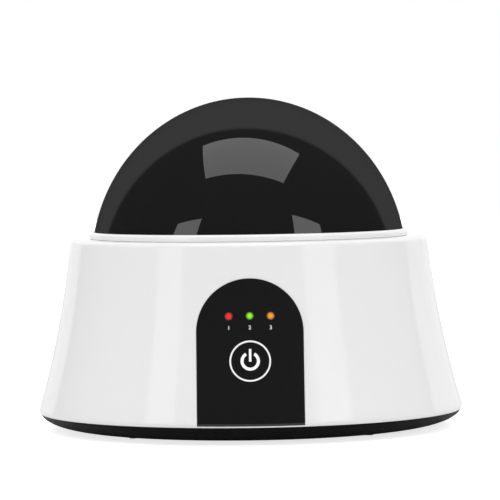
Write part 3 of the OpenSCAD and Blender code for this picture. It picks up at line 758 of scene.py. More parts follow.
BASE_SCREW_R, PAN_FLOOR, BOSS_R, BOSS_TOP, BORE_R, BORE_TOP = 84, 3.5, 4, 34, 1.5, 22
boss = block("boss", circle(BOSS_R, 48), along_z, PAN_FLOOR, BOSS_TOP)
fuse(boss, slab("web", along_z, 0, 23, -1, 1, 15, 30))
cut(boss, block("bore", circle(BORE_R, 48), along_z, 0, BORE_TOP))
bosses = four_of(boss, "bosses", BASE_SCREW_R, "gloss_white_abs")
TRIM_R, TRIM_Z = 98, 22
trim = lathe("trim", [(0, 0), (TRIM_R, 0), (TRIM_R, TRIM_Z)]
             + [p for p in housing_side(WALL / 2) if p[1] > TRIM_Z] + [(0, SHOULDER_Z - WALL / 2)], 128)
combine(bosses, trim, "INTERSECT")
fuse(housing, bosses)


def add_post(piece, place, x, y, *bars):
    """Adds to piece a round post with a bore. Each bar is a radius, its sides and its two ends."""
    post, bore = (block("bar", circle(radius, sides, x, y), place, low, high)
                  for radius, sides, low, high in bars)
    fuse(piece, cut(post, bore))


BOARD_BACK = -11.7
for u, v in ((-18, -14), (18, -14), (-18, 28), (18, 28)):
    add_post(housing, in_panel, u, v, (2.6, 32, BOARD_BACK, -2.4), (1.05, 24, BOARD_BACK - 1, -5.7))
print("with ears, bosses and posts:", len(housing.data.polygons), "faces")

# %% [markdown]
# The panel's recess is a block with the panel's outline, less the housing moved in by the
# recess's depth: what is left is a curved slice that cuts an even step.

# %% Recess, holes and window
PANEL_R, PANEL_LOW, PANEL_TOP = 26.4, 10.1, 81.6
KEY_RING_R, KEY_RING_LINE, KEY_GAP = 10.2, 0.8, 0.1
KEY_R = KEY_RING_R - KEY_RING_LINE - KEY_GAP
LAMP_Z, LAMP_PITCH, LAMP_R = 63.2, 10.3, 1.9
PANEL_PROUD, PANEL_SUNK = 0.3, 0.9
lamp_v = (LAMP_Z - KEY_Z) / math.cos(key_lean)
lamp_spots = [(side * LAMP_PITCH, lamp_v) for side in (-1, 0, 1)]


def arch_of(grow_by, steps=64):
    """The panel's outline seen from the front as (x, z), anticlockwise from the lower left."""
    r, spring = PANEL_R + grow_by, PANEL_TOP - PANEL_R
    low = PANEL_LOW - grow_by
    side = [(r, low + (spring - low) * i / 24) for i in range(24)]
    foot = [(-r + 2 * r * i / 32, low) for i in range(32)]
    return foot + side + arc((0, spring), r, 0, 180, steps) + [(-x, z) for x, z in side[:0:-1]]


recess = block("recess", arch_of(KEY_GAP), along_y, -130, -70)
cut(recess, housing_solid("floor", PANEL_SUNK))
cut(housing, recess)
cut(housing, block("hole", circle(KEY_R + 2.5, 96), in_panel, -8, 4))
for u, v in lamp_spots:
    cut(housing, block("hole", circle(LAMP_R + 0.15, 32, u, v), in_panel, -8, 4))
cut(housing, inlet_block("pocket", 14, 9.5, INLET_Y, 116, 1.5))
cut(housing, inlet_block("window", 10, 5.8, 80, 110))
hand_over(keep_shading(housing, shell_guide), "gloss_white_abs", "housing", "white_abs", "housing_shell")

# %% [markdown]
# ## The base
#
# A black pan closes the housing from below. It is dished: its rim curves in and under, so that
# from the front the machine seems to float on a dark lens. Under it are air slots, four screws
# sunk in recesses and four rubber feet.

# %% Base pan
BASE_FLAT_R, PAN_T, FOOT_PROUD, BASE_POWER = 86, 2.4, 1.1, 1.8
FOOT_R, FOOT_SEAT_R, FOOT_HOLE_R, SCREW_HOLE_R = 62, 9.5, 7.5, 1.7
SLOT_X, SLOT_Y, SLOT_R, SLOT_PITCH = 20.8, 19.2, 1.2, 8
EDGE_R, EDGE_Z = RIM_R - 0.4, RIM_Z - 0.1


def base_curve(inset, steps=20):
    """A quarter of a slightly flattened ellipse from the pan's edge down to its flat underside."""
    angles = [math.radians(90 * i / steps) for i in range(steps + 1)]
    return [(BASE_FLAT_R + (EDGE_R - BASE_FLAT_R - inset) * abs(math.cos(a)) ** (2 / BASE_POWER),
             EDGE_Z - (EDGE_Z - FOOT_PROUD - inset) * math.sin(a) ** (2 / BASE_POWER)) for a in angles]


upstand = RIM_R - WALL - 0.4
section = [(0, FOOT_PROUD)] + base_curve(0)[::-1] + [
    (EDGE_R - PAN_T, EDGE_Z), (upstand, EDGE_Z - 0.6), (upstand, EDGE_Z + 2.6),
    (upstand - 2, EDGE_Z + 2.6)] + [p for p in base_curve(PAN_T) if p[0] < upstand - 2] + [(0, PAN_FLOOR)]
pan = lathe("pan", section, 256)
pan_guide = shading_guide(pan)
seat = block("seat", circle(FOOT_SEAT_R, 64), along_z, FOOT_PROUD + 1, PAN_FLOOR + 1)
fuse(pan, four_of(seat, "seats", FOOT_R, "grained_black_abs"))
for x, y in ((-32, 12), (32, 12), (-32, 58), (32, 58)):
    add_post(pan, along_z, x, y, (3.4, 40, FOOT_PROUD + 1, 10), (1.3, 24, PAN_FLOOR + 0.6, 12))

socket = block("socket", circle(FOOT_HOLE_R, 64), along_z, 0, FOOT_PROUD + 0.8)
counterbore = lathe("counterbore", [
    (0, 0), (3.6, 0), (3.2, FOOT_PROUD + 0.3), (3.2, FOOT_PROUD + 1.2), (SCREW_HOLE_R, FOOT_PROUD + 1.2),
    (SCREW_HOLE_R, 12), (0, 12)], 48)
for cutter, reach in ((socket, FOOT_R), (counterbore, BASE_SCREW_R)):
    cut(pan, four_of(cutter, "cuts", reach, "grained_black_abs"))
slot_ends = arc((SLOT_X, SLOT_Y), SLOT_R, -90, 90, 12) + arc((-SLOT_X, SLOT_Y), SLOT_R, 90, 270, 12)
slot_shape = block("slot", slot_ends, along_z, 0, 8)
vents = grow("vents", row_tree, "grained_black_abs", Shape=slot_shape, Count=5,
             Step=(0, SLOT_PITCH * MM, 0))
bpy.data.objects.remove(slot_shape)
cut(pan, vents)
hand_over(keep_shading(pan, pan_guide), "grained_black_abs", "housing", "base_black", "base_pan")

# %% [markdown]
# The feet are rubber buttons with a rounded edge and two shallow rings in the sole, which keep
# the machine from creeping on a wet table.

# %% Feet and base screws
foot = lathe("foot_shape", rounded([
    (0, 0, 0), (2.2, 0, 0.1), (2.5, 0.35, 0.1), (3.1, 0.35, 0.1), (3.4, 0, 0.1), (4.4, 0, 0.1),
    (4.7, 0.35, 0.1), (5.3, 0.35, 0.1), (5.6, 0, 0.1), (6.7, 0, 0.5), (7.2, FOOT_PROUD, 0.1),
    (7.2, FOOT_PROUD + 0.8, 0), (0, FOOT_PROUD + 0.8, 0)]), 72)
hand_over(smooth(four_of(foot, "feet", FOOT_R, "foot_rubber")), "foot_rubber", "housing", "rubber_black",
          "rubber_foot_front_left", "rubber_foot_front_right", "rubber_foot_rear_left",
          "rubber_foot_rear_right")


def screw_shape(head_z, shank_top, pitch=1.0):
    """A pan-head screw, head down, with a cross recess and a shank with thread-like rings."""
    shank = []
    z = head_z + 2.3
    while z < shank_top - 1.5:
        shank += [(1.18, z), (1.45, z + pitch / 2)]
        z += pitch
    head = [(0, head_z)] + arc((1.3, head_z + 1.5), 1.5, -90, 0, 6) + [(2.8, head_z + 2), (1.2, head_z + 2)]
    made = lathe("screw_shape", head + shank + [(1.0, shank_top - 0.8), (0, shank_top)], 40)
    for x, y in ((0.4, 1.7), (1.7, 0.4)):
        cut(made, slab("cross", along_z, -x, x, -y, y, head_z - 1, head_z + 1.1))
    return made


screw = screw_shape(FOOT_PROUD - 0.8, FOOT_PROUD + 15.2)
hand_over(smooth(four_of(screw, "pan_screws", BASE_SCREW_R, "zinc_plate")), "zinc_plate", "housing",
          "zinc_steel", "base_screws")

# %% [markdown]
# ## The front panel and its key
#
# The panel is a thin black acrylic plate, arched at the top, that stands a hair proud of the
# housing. Round the key is a white ring, and the key itself is a black cap that ends level with
# the panel. The cap's flange stops it from falling out, and its stem reaches the switch.

# %% Shading that follows the housing
def side_normal(spot):
    """The direction straight out of the housing's side at a point in metres."""
    x, y, z = (c / MM for c in spot)
    reach = math.hypot(x, y)
    out, rise = flare_centre.x - reach, flare_centre.y - z
    if rise > out * math.tan(math.radians(lean_low)):
        out, rise = reach - corner_low.x, z - corner_low.y
    return Vector((x / reach * out, y / reach * out, rise)).normalized()


def follow_housing(piece):
    """Gives every face that lies along the housing's side the side's own smooth shading."""
    smooth(piece)
    mesh = piece.data
    along = {v for f in mesh.polygons if f.normal.dot(side_normal(f.center)) > 0.9995 for v in f.vertices}
    own = [Vector(n.vector) for n in mesh.corner_normals]
    for index, corner in enumerate(mesh.loops):
        at = side_normal(mesh.vertices[corner.vertex_index].co)
        if corner.vertex_index in along and own[index].dot(at) > 0.3:
            own[index] = at
    mesh.normals_split_custom_set([tuple(n) for n in own])
    return piece


# %% Panel, ring and key
rim = [(x, height_in_panel(x, z)) for x, z in arch_of(0)]
panel_holes = [circle(KEY_RING_R, 128)[::-1]] + [circle(LAMP_R, 40, u, v)[::-1] for u, v in lamp_spots]
panel = plate("panel", rim, panel_holes, -PANEL_SUNK, PANEL_PROUD, 0.22, 1.7)
hand_over(follow_housing(panel), "piano_black_acrylic", "housing", "panel_black", "front_panel")

key_ring = plate("white_ring", circle(KEY_RING_R, 128), [circle(KEY_R + KEY_GAP, 128)[::-1]],
                 -PANEL_SUNK, PANEL_PROUD, 0.12, 40)
hand_over(follow_housing(key_ring), "printed_white", "housing", "mark_white", "key_ring")

SWITCH_TOP = -8.2
cap = plate("key_cap", circle(KEY_R, 128), [], -2.3, PANEL_PROUD, 0.25, 1.5)
flange = block("flange", circle(KEY_R + 2, 96), in_panel, -3.4, -2.1)
fuse(flange, block("stem", circle(2.5, 40), in_panel, SWITCH_TOP + 1, -3))
fuse(cap, flange)
hand_over(follow_housing(cap), "piano_black_acrylic", "key", "panel_black", "power_key")

# %% [markdown]
# The mark on the key is the usual one for power: a ring open at the top with a bar in the gap.
# It is a printed film, so it is a plate only 0.06 mm thick that moves with the key. Under each
# lamp is a small plain numeral of the same white.

# %% Power mark and numerals
MARK_LOW, MARK_HIGH = PANEL_PROUD - 0.02, PANEL_PROUD + 0.04
POWER_R, POWER_LINE, POWER_GAP = 4, 0.75, 30
ring_shape = (arc((0, 0), POWER_R + POWER_LINE, 90 + POWER_GAP, 450 - POWER_GAP, 72)
              + arc((0, 0), POWER_R - POWER_LINE, 450 - POWER_GAP, 90 + POWER_GAP, 60))
mark = join("power_mark", [plate("stroke", shape, [], MARK_LOW, MARK_HIGH, 0.02, 40)
                           for shape in (ring_shape, rectangle(-0.6, 0.6, -0.3, 6.0))])
hand_over(follow_housing(mark), "printed_white", "key", "mark_white")


def numeral(sign, u, v, height, half_depth=0.03):
    """A printed numeral on the panel, its foot at v and its middle at u."""
    text = bpy.data.curves.new("numeral", "FONT")
    # A font's size is 1.42 times the height of its numerals.
    text.body, text.align_x, text.size, text.extrude = sign, "CENTER", height * 1.42, half_depth
    text.offset = 0.02
    holder = placed("letter", text)
    flat = plain_mesh(holder)
    bpy.data.objects.remove(holder)
    spots = [on_housing(u + p.co.x, v + p.co.y, MARK_LOW + half_depth + p.co.z) for p in flat.vertices]
    return tidied(mesh_object("numeral_" + sign, spots, [tuple(f.vertices) for f in flat.polygons]))


LABEL_DROP, LABEL_HEIGHT = 6.65, 1.9
labels = join("lamp_numerals", [numeral(str(i + 1), u, v - LABEL_DROP, LABEL_HEIGHT)
                                for i, (u, v) in enumerate(lamp_spots)])
hand_over(follow_housing(labels), "printed_white", "housing", "mark_white")

# %% [markdown]
# A lamp's lens is a short light pipe, level with the panel and very slightly crowned. Its
# attribute named reach says how far each point is from the lens's middle.

# %% Lamp lenses
CROWN, LENS_SIDES, LENS_END = 0.38, 40, -6.2


def lens(tint, u, v):
    levels = [(0, CROWN), (0.3, 0.37), (0.55, 0.35), (0.75, 0.32), (0.9, 0.27), (0.97, 0.22), (1, 0.12)]
    crown, stem = circle(LAMP_R - 0.02, LENS_SIDES), circle(LAMP_R - 0.2, LENS_SIDES)
    rings = [[on_housing(u + a * share, v + b * share, lift) for a, b in crown] for share, lift in levels]
    rings += [[in_panel(u + a, v + b, w) for a, b in stem] for w in (-5, LENS_END)]
    rings.append([in_panel(u, v, LENS_END)] * LENS_SIDES)
    made = loft("lens_" + tint, rings)
    centre = on_housing(u, v, CROWN) * MM
    reach = made.data.attributes.new("reach", "FLOAT", "POINT")
    for spot, value in zip(made.data.vertices, reach.data):
        value.value = min(1.0, (spot.co - centre).length / (LAMP_R * MM))
    hand_over(smooth(made), f"lit_{tint}_epoxy", "housing", "lamp_" + tint, "lamp_lens_" + tint)


for (u, v), tint in zip(lamp_spots, ("red", "green", "amber")):
    lens(tint, u, v)

# %% [markdown]
# ## The ring and its knuckles
#
# The white ring carries the dome in a channel and turns on the hinge pin. Its outer top edge is
# well rounded, which catches a bright line of light all the way round.

# %% Lid ring
RING_R, RING_LOW, RING_TOP = 82.5, SHOULDER_Z + 0.3, SHOULDER_Z + 3.5
DOME_LOW, CHANNEL_IN, CHANNEL_OUT, SKIRT_IN = RING_LOW + 1.3, 77.4, 80.6, 73.6
ring = lathe("dome_ring", rounded([
    (SKIRT_IN, RING_LOW - 2.1, 0.3), (SKIRT_IN + 1.6, RING_LOW - 2.1, 0.3), (SKIRT_IN + 1.6, RING_LOW, 0.3),
    (77.6, RING_LOW, 0), (77.6, RING_LOW + 0.6, 0), (79.6, RING_LOW + 0.6, 0), (79.6, RING_LOW, 0),
    (81.4, RING_LOW, 0), (81.5, RING_LOW - 0.24, 0), (RING_R, RING_LOW - 0.24, 0.2),
    (RING_R, RING_TOP, 1.5), (CHANNEL_OUT, RING_TOP, 0.25), (CHANNEL_OUT, DOME_LOW, 0),
    (CHANNEL_IN, DOME_LOW, 0), (CHANNEL_IN, RING_TOP - 0.9, 0.3), (SKIRT_IN, RING_TOP - 0.9, 0.4)], 6), 256)
ring_guide = shading_guide(ring)
for x0, x1 in ((-17.8, -5.2), (5.2, 17.8)):
    lug = slab("lug", along_x, 76, HINGE_Y, RING_LOW + 1.2, RING_LOW + 4.1, x0, x1)
    cut(lug, lathe("clear", [(0, 90), (RING_R - 1, 90), (RING_R - 1, 120), (0, 120)], 128))
    fuse(lug, block("knuckle", circle(KNUCKLE_R, 56, HINGE_Y, HINGE_Z), along_x, x0, x1))
    fuse(ring, lug)
cut(ring, block("pin_hole", circle(PIN_R + 0.05, 48, HINGE_Y, HINGE_Z), along_x, -40, 40))
# The ring's lighter white is painted light that evens out the shade beside its seam.
hand_over(keep_shading(ring, ring_guide), "bright_white_abs", "lid", "white_abs", "lid_ring")

# %% [markdown]
# ## The dome
#
# The dome is the machine's main shape and follows one rule: it is half an ellipse turned about
# the upright axis, with an inner wall one wall thickness inside. A rule is what Geometry Nodes
# are for. A flat grid is bent into the shell: across the grid runs the turn, and along it the
# height, up the outer wall to the pole and down the inner wall. Points that meet are merged,
# which closes the seam, the rim and both poles.

# %% Dome tree
dome_tree, given = new_tree("elliptic_shell", Radius=0.08, Height=0.09, Middle=0.08, Wall=0.003, Low=0.1,
                            Turns=64, Steps=16, Finish="Material")
spot = add(dome_tree, "ShaderNodeSeparateXYZ", {0: add(dome_tree, "GeometryNodeInputPosition")}).outputs
found = chain(
    dome_tree, "ShaderNodeMath", dict(given.items(), X=spot[0], Y=spot[1]),
    rows=("MULTIPLY", "Steps", 2.0),
    points_across=("ADD", "Turns", 1.0),
    points_along=("ADD", "rows", 1.0),
    turn=("MULTIPLY", ("ADD", "X", 0.5), 2 * math.pi),
    row=("MODULO", ("ROUND", ("MULTIPLY", ("ADD", "Y", 0.5), "rows")), "rows"),
    # The first half of the rows goes up the outer wall, the second half down the inner one.
    inset=("MULTIPLY", ("GREATER_THAN", "row", ("SUBTRACT", "Steps", 0.5)), "Wall"),
    row_up=("MINIMUM", "row", ("SUBTRACT", ("SUBTRACT", "rows", 1.0), "row")),
    share=("DIVIDE", "row_up", ("SUBTRACT", "Steps", 1.0)),
    half_width=("SUBTRACT", "Radius", "inset"),
    half_height=("SUBTRACT", "Height", "inset"),
    # The angle on the ellipse runs from where the wall starts, at Low, up to the pole.
    start=("ARCSINE", ("DIVIDE", ("SUBTRACT", "Low", "Middle"), "half_height")),
    angle=("ADD", "start", ("MULTIPLY", ("SUBTRACT", math.pi / 2, "start"), "share")),
    reach=("MULTIPLY", "half_width", ("COSINE", "angle")),
    x=("MULTIPLY", "reach", ("COSINE", "turn")),
    y=("MULTIPLY", "reach", ("SINE", "turn")),
    z=("ADD", "Middle", ("MULTIPLY", "half_height", ("SINE", "angle"))))
grid = add(dome_tree, "GeometryNodeMeshGrid", {
    "Size X": 1.0, "Size Y": 1.0, "Vertices X": found["points_across"], "Vertices Y": found["points_along"]})
bent = add(dome_tree, "ShaderNodeCombineXYZ", {0: found["x"], 1: found["y"], 2: found["z"]})
shell = add(dome_tree, "GeometryNodeSetPosition", {"Geometry": grid, "Position": bent})
merged = add(dome_tree, "GeometryNodeMergeByDistance", {"Geometry": shell, "Distance": 2e-6})
close_tree(dome_tree, given, merged)
print("dome tree:", len(dome_tree.nodes), "nodes")

# %% Dome
DOME_R, DOME_H, DOME_MID, DOME_WALL = 81.9, 86.8, 84.6, 2.6
ARCH_W, ARCH_H, ARCH_POWER = 112, 46, 2.5
dome = tidied(grow("dome", dome_tree, "smoked_polycarbonate", Radius=DOME_R * MM, Height=DOME_H * MM,
                   Middle=DOME_MID * MM, Wall=DOME_WALL * MM, Low=DOME_LOW * MM, Turns=240, Steps=64))
dome_guide = shading_guide(dome)


def hand_arch(steps=96):
    """The hand opening's outline as (x, z): the upper half of a squared ellipse on the ring's top."""
    out = []
    for i in range(steps + 1):
        c, s = math.cos(math.pi * i / steps), abs(math.sin(math.pi * i / steps))
        out.append((math.copysign(ARCH_W / 2 * abs(c) ** (2 / ARCH_POWER), c),
                    RING_TOP + ARCH_H * s ** (2 / ARCH_POWER)))
    return out


cut(dome, block("arch", hand_arch(), along_y, 20, 130))
hand_over(keep_shading(dome, dome_guide), "smoked_polycarbonate", "lid", "dome_smoke", "dome_cover")

# %% [markdown]
# The hand opening's edge wears a black silicone channel, U-shaped in section and pushed over the
# dome's wall, with a strip across the sill. The U is drawn flat and swept along the opening's
# edge: at each step it is turned to the dome's own outward direction there.

# %% Opening trim
def on_dome(x, z, inset):
    """The point of the dome's back, moved inwards by inset, at (x, z), and the way straight out."""
    a, b = DOME_R - inset, DOME_H - inset
    reach = a * math.sqrt(1 - ((z - DOME_MID) / b) ** 2)
    spot = Vector((x, math.sqrt(reach ** 2 - x ** 2), z))
    return spot, Vector((spot.x / a ** 2, spot.y / a ** 2, (z - DOME_MID) / b ** 2)).normalized()


half = DOME_WALL / 2
lips = rounded([
    (half + 1, 3, 0.45), (half + 0.02, 3, 0.3), (half + 0.02, 0.02, 0), (-half - 0.02, 0.02, 0),
    (-half - 0.02, 3, 0.3), (-half - 1, 3, 0.45), (-half - 1, -1.2, 0.9), (half + 1, -1.2, 0.9)], 5)
edge_line = [(ARCH_W / 2, RING_TOP - 1.5)] + hand_arch()[:-1] + [
    (-ARCH_W / 2, RING_TOP), (-ARCH_W / 2, RING_TOP - 1.5)]
stations = [on_dome(x, z, half) for x, z in edge_line]
sections = []
for i, (spot, out) in enumerate(stations):
    onward = stations[min(i + 1, len(stations) - 1)][0] - stations[max(i - 1, 0)][0]
    aside = onward.cross(out).normalized()
    if aside.dot(spot - Vector((0, spot.y, RING_TOP + 15))) < 0:
        aside = -aside
    sections.append([spot + out * n + aside * d for n, d in lips])
opening_trim = loft("opening_edge", sections)
sill_section = rounded([(76.6, RING_TOP, 0), (81.0, RING_TOP, 0), (81.0, RING_TOP + 1.2, 0.5),
                        (76.6, RING_TOP + 1.2, 0.5)], 5)
SILL_ANGLE = 46.6
sill_angles = [math.radians(90 - SILL_ANGLE + 2 * SILL_ANGLE * i / 60) for i in range(61)]
sill = loft("sill", [[(r * math.cos(a), r * math.sin(a), z) for r, z in sill_section] for a in sill_angles])
fuse(opening_trim, sill)
combine(opening_trim, slab("above", along_z, -80, 80, 30, 100, RING_TOP, 160), "INTERSECT")
hand_over(smooth(opening_trim), "black_silicone", "lid", "silicone_black", "opening_trim")

# %% [markdown]
# ## The steam chamber
#
# Under the dome a white polypropylene tub hangs in the housing. In its middle is a well with a
# low dam round it, where the steel bowl stands on the heater. All of it is round, so the section
# is drawn once, with moulding radii in its corners, and turned.

# %% Chamber tub
TUB_R, TUB_FLOOR, WELL_R, DAM_Z, HEATER_SCREW_R = 75.6, 86, 41, 88, 52
WELL_HOLE_R, WELL_LOW, WELL_FLOOR = 37.5, 64, 66
tub = lathe("tub", rounded([
    (WELL_HOLE_R, WELL_LOW, 0), (WELL_R + 2, WELL_LOW, 0.5), (WELL_R + 2, TUB_FLOOR - 2, 1.2),
    (TUB_R + 2, TUB_FLOOR - 2, 1.6), (TUB_R + 2, FLANGE_Z, 0.2), (FLANGE_R, FLANGE_Z, 0.2),
    (FLANGE_R, SHOULDER_Z, 0.3),
    (TUB_R, SHOULDER_Z, 0.7), (TUB_R, TUB_FLOOR, 2.0), (WELL_R + 2, TUB_FLOOR, 0.8),
    (WELL_R + 2, DAM_Z, 0.6), (WELL_R, DAM_Z, 0.6), (WELL_R, WELL_FLOOR, 0.5),
    (WELL_HOLE_R, WELL_FLOOR, 0.2)], 5), 224)
tub_guide = shading_guide(tub)
for angle in (-90, 30, 150):
    a = math.radians(angle)
    add_post(tub, along_z, HEATER_SCREW_R * math.cos(a), HEATER_SCREW_R * math.sin(a),
             (4, 40, 55, TUB_FLOOR - 1), (1.5, 24, 50, 72))
hand_over(keep_shading(tub, tub_guide), "satin_polypropylene", "housing", "tub_white", "chamber_tub")

# %% [markdown]
# The fingertips lie in five grooves on a crescent-shaped rest, and the palm lies on a soft pad
# opposite. Both are heights over a part of a ring: at each angle and distance from the axis a
# rule gives the height, with the grooves blended in by a smooth minimum so that no edge is
# sharp, and a round of 2 mm along the border. The palm pad is cupped and has fine ribs.

# %% Finger rest and palm pad
REST_IN, REST_OUT, REST_EDGE = 46, 73, 2.0


def blend_low(a, b, width):
    """The smaller of a and b, rounded off where they cross."""
    share = min(1, max(0, 0.5 + 0.5 * (b - a) / width))
    return b + (a - b) * share - width * share * (1 - share)


def spread(low, high, margin, count):
    """Values from low to high: a few fine ones at both ends and count even steps between margins."""
    fine = (0, 0.12, 0.4, 0.9, 1.5)
    even = [low + margin + (high - low - 2 * margin) * i / count for i in range(count + 1)]
    return [low + d for d in fine] + even + [high - d for d in fine[::-1]]


def rest(name, middle, span, height, columns, rows):
    """A crescent block on the tub's floor. height gives its top over (degrees from middle, radius)."""
    sections = []
    for turn in spread(-span / 2, span / 2, 2.2, columns):
        a = math.radians(middle + turn)
        top = []
        for r in spread(REST_IN, REST_OUT, 2, rows):
            border = min(r - REST_IN, REST_OUT - r, r * math.radians(span / 2 - abs(turn)))
            drop = REST_EDGE - math.sqrt(max(0, REST_EDGE ** 2 - max(0, REST_EDGE - border) ** 2))
            top.append((r, TUB_FLOOR + height(turn, r) - drop))
        outline = [(REST_IN, TUB_FLOOR)] + top + [(REST_OUT, TUB_FLOOR)]
        sections.append([(r * math.cos(a), r * math.sin(a), z) for r, z in outline])
    return smooth(loft(name, sections))


GROOVE_PITCH, GROOVE_R, GROOVE_CENTRE, REST_H = 27, 8.6, 12.2, 9
CUP_R, CUP_CENTRE, PALM_H, RIB_PITCH, RIB_DEPTH = 69, 76, 10, 3.8, 0.35


def grooved(turn, r):
    """The finger rest's height: flat, with a round groove for each of the five fingers."""
    nearest = min(2, max(-2, round(turn / GROOVE_PITCH))) * GROOVE_PITCH
    across = abs(r * math.sin(math.radians(turn - nearest)))
    groove = (GROOVE_CENTRE - math.sqrt(GROOVE_R ** 2 - across ** 2) if across < GROOVE_R
              else GROOVE_CENTRE - GROOVE_R + across)
    return blend_low(REST_H, groove, 1.4)


def cupped(turn, r):
    """The palm pad's height: a shallow cup with fine ribs that fade out before the border."""
    across = r * math.sin(math.radians(turn))
    cup = blend_low(PALM_H, CUP_CENTRE - math.sqrt(CUP_R ** 2 - min(CUP_R - 1, abs(across)) ** 2), 1.2)
    inside = min(1, max(0, min(r - REST_IN - 4, REST_OUT - 4 - r, (52 - abs(turn)) * 1.2) / 2))
    return cup - RIB_DEPTH * inside * (0.5 - 0.5 * math.cos(2 * math.pi * (r - REST_IN) / RIB_PITCH)) ** 2


hand_over(rest("finger_crescent", -90, 150, grooved, 210, 16), "satin_polypropylene", "housing", "tub_white",
          "finger_rest")
hand_over(rest("palm_pad", 90, 112, cupped, 84, 56), "grey_silicone", "housing", "silicone_grey",
          "palm_rest")

# %% [markdown]
# The remover goes in a drawn stainless bowl with a rolled rim, and a perforated steel plate
# covers it. The plate's holes lie on four rings of 6, 12, 18 and 24 round a middle one. That is
# one rule too: from a hole's number follow its ring and its place on the ring.

# %% Steam bowl
BOWL_FLOOR, BOWL_RIM, BOWL_RIM_R, BOWL_T = 68.8, 89, 42.8, 0.8
bowl = lathe("bowl", rounded([
    (0, BOWL_FLOOR, 0), (37.6, BOWL_FLOOR, 1.4), (38.5, BOWL_RIM - BOWL_T - 0.2, 0.9),
    (BOWL_RIM_R, BOWL_RIM - BOWL_T, 0.35), (BOWL_RIM_R, BOWL_RIM, 0.35), (38.4, BOWL_RIM, 1.4),
    (36.8, BOWL_FLOOR + BOWL_T, 0.9), (0, BOWL_FLOOR + BOWL_T, 0)], 8), 192)
hand_over(smooth(bowl), "spun_stainless", "bowl", "stainless", "steam_bowl")

# %% Grille
holes_tree, given = new_tree("rings_of_holes", Shape="Object", Count=61, Pitch=0.008, Finish="Material")
found = chain(
    holes_tree, "ShaderNodeMath", dict(given.items(), index=add(holes_tree, "GeometryNodeInputIndex")),
    # Ring n ends with hole 3 n (n + 1), so a hole's ring is a root of its number, rounded up.
    ring=("CEIL", ("DIVIDE", ("SUBTRACT", ("SQRT", ("ADD", ("MULTIPLY", "index", 12.0), 9.0)), 3.001), 6.0)),
    before=("MULTIPLY", ("MULTIPLY", "ring", 3.0), ("SUBTRACT", "ring", 1.0)),
    sixths=("MULTIPLY", ("SUBTRACT", ("SUBTRACT", "index", 1.0), "before"), math.pi / 3),
    turn=("DIVIDE", "sixths", ("MAXIMUM", "ring", 1.0)),
    reach=("MULTIPLY", "ring", "Pitch"),
    x=("MULTIPLY", "reach", ("COSINE", "turn")),
    y=("MULTIPLY", "reach", ("SINE", "turn")))
spot = add(holes_tree, "ShaderNodeCombineXYZ", {0: found["x"], 1: found["y"]})
points = add(holes_tree, "GeometryNodePoints", {"Count": given["Count"], "Position": spot})
close_tree(holes_tree, given, copies_on(holes_tree, given, points))

GRILLE_R, GRILLE_TOP, SPIGOT_R, SPIGOT_T, SPIGOT_LOW = 42.4, BOWL_RIM + 1.6, 36.5, 0.9, BOWL_RIM - 2.5
HOLE_R, MOUTH_R, HOLE_PITCH, HOLE_COUNT = 2.0, 2.5, 8, 61
grille = lathe("grille", rounded([
    (0, BOWL_RIM, 0), (SPIGOT_R - SPIGOT_T, BOWL_RIM, 0.2), (SPIGOT_R - SPIGOT_T, SPIGOT_LOW, 0.25),
    (SPIGOT_R, SPIGOT_LOW, 0.25), (SPIGOT_R, BOWL_RIM, 0.2), (GRILLE_R, BOWL_RIM, 0.4),
    (GRILLE_R, GRILLE_TOP, 0.5), (0, GRILLE_TOP, 0)], 5), 160)
drill = lathe("drill", [(0, BOWL_RIM - 1), (HOLE_R, BOWL_RIM - 1), (HOLE_R, GRILLE_TOP - 0.3),
                        (MOUTH_R, GRILLE_TOP + 0.2), (MOUTH_R, BOWL_RIM + 3), (0, BOWL_RIM + 3)], 32)
drills = grow("drills", holes_tree, "spun_stainless", Shape=drill, Count=HOLE_COUNT, Pitch=HOLE_PITCH * MM)
bpy.data.objects.remove(drill)
cut(grille, drills)
hand_over(smooth(grille), "spun_stainless", "grille", "stainless", "bowl_grille")

# %% [markdown]
# ## The mains socket
#
# At the back is a two-pole socket of the usual figure-of-eight shape, snapped into the
# housing's pocket: a black nylon moulding with a slightly funnelled mouth and two round pins.

# %% Power inlet and its pins
PIN_X, SOCKET_BACK, SOCKET_FACE = 4.3, INLET_Y - 11, INLET_Y + 1.6
FACE_X, FACE_Z, FACE_R = 13, 8.5, 2.6


def eight(grow_by, y):
    """The socket's outline, a figure of eight, at depth y."""
    r, waist = 4.2 + grow_by, 3.4 + grow_by
    meet = math.degrees(math.asin(waist / r))
    flat = arc((PIN_X, 0), r, meet - 180, 180 - meet, 36) + arc((-PIN_X, 0), r, meet, 360 - meet, 36)
    return [(x, y, INLET_Z + z) for x, z in flat]


inlet = inlet_block("inlet", FACE_X, FACE_Z, INLET_Y, SOCKET_FACE - 0.35, FACE_R, 8)
edges = [(mitred(rectangle(-FACE_X, FACE_X, -FACE_Z, FACE_Z, FACE_R, 8), inset), SOCKET_FACE - drop)
         for inset, drop in ((0, 0.36), (0.1, 0.1), (0.35, 0))]
fuse(inlet, loft("face", [[(x, y, INLET_Z + z) for x, z in edge] for edge, y in edges]))
fuse(inlet, inlet_block("body", 9.7, 5.5, INLET_Y - 14, INLET_Y + 0.5, 3, 6))
mouth = [(0, SOCKET_BACK), (0, SOCKET_FACE - 0.5), (0.5, SOCKET_FACE + 0.01), (0.5, SOCKET_FACE + 1)]
cut(inlet, loft("mouth", [eight(grow_by, y) for grow_by, y in mouth]))
for x in (-PIN_X, PIN_X):
    cut(inlet, block("bore", circle(1.6, 40, x, INLET_Z), along_y, 60, SOCKET_BACK + 0.5))
hand_over(smooth(inlet), "glossy_black_nylon", "housing", "component_black", "power_inlet")

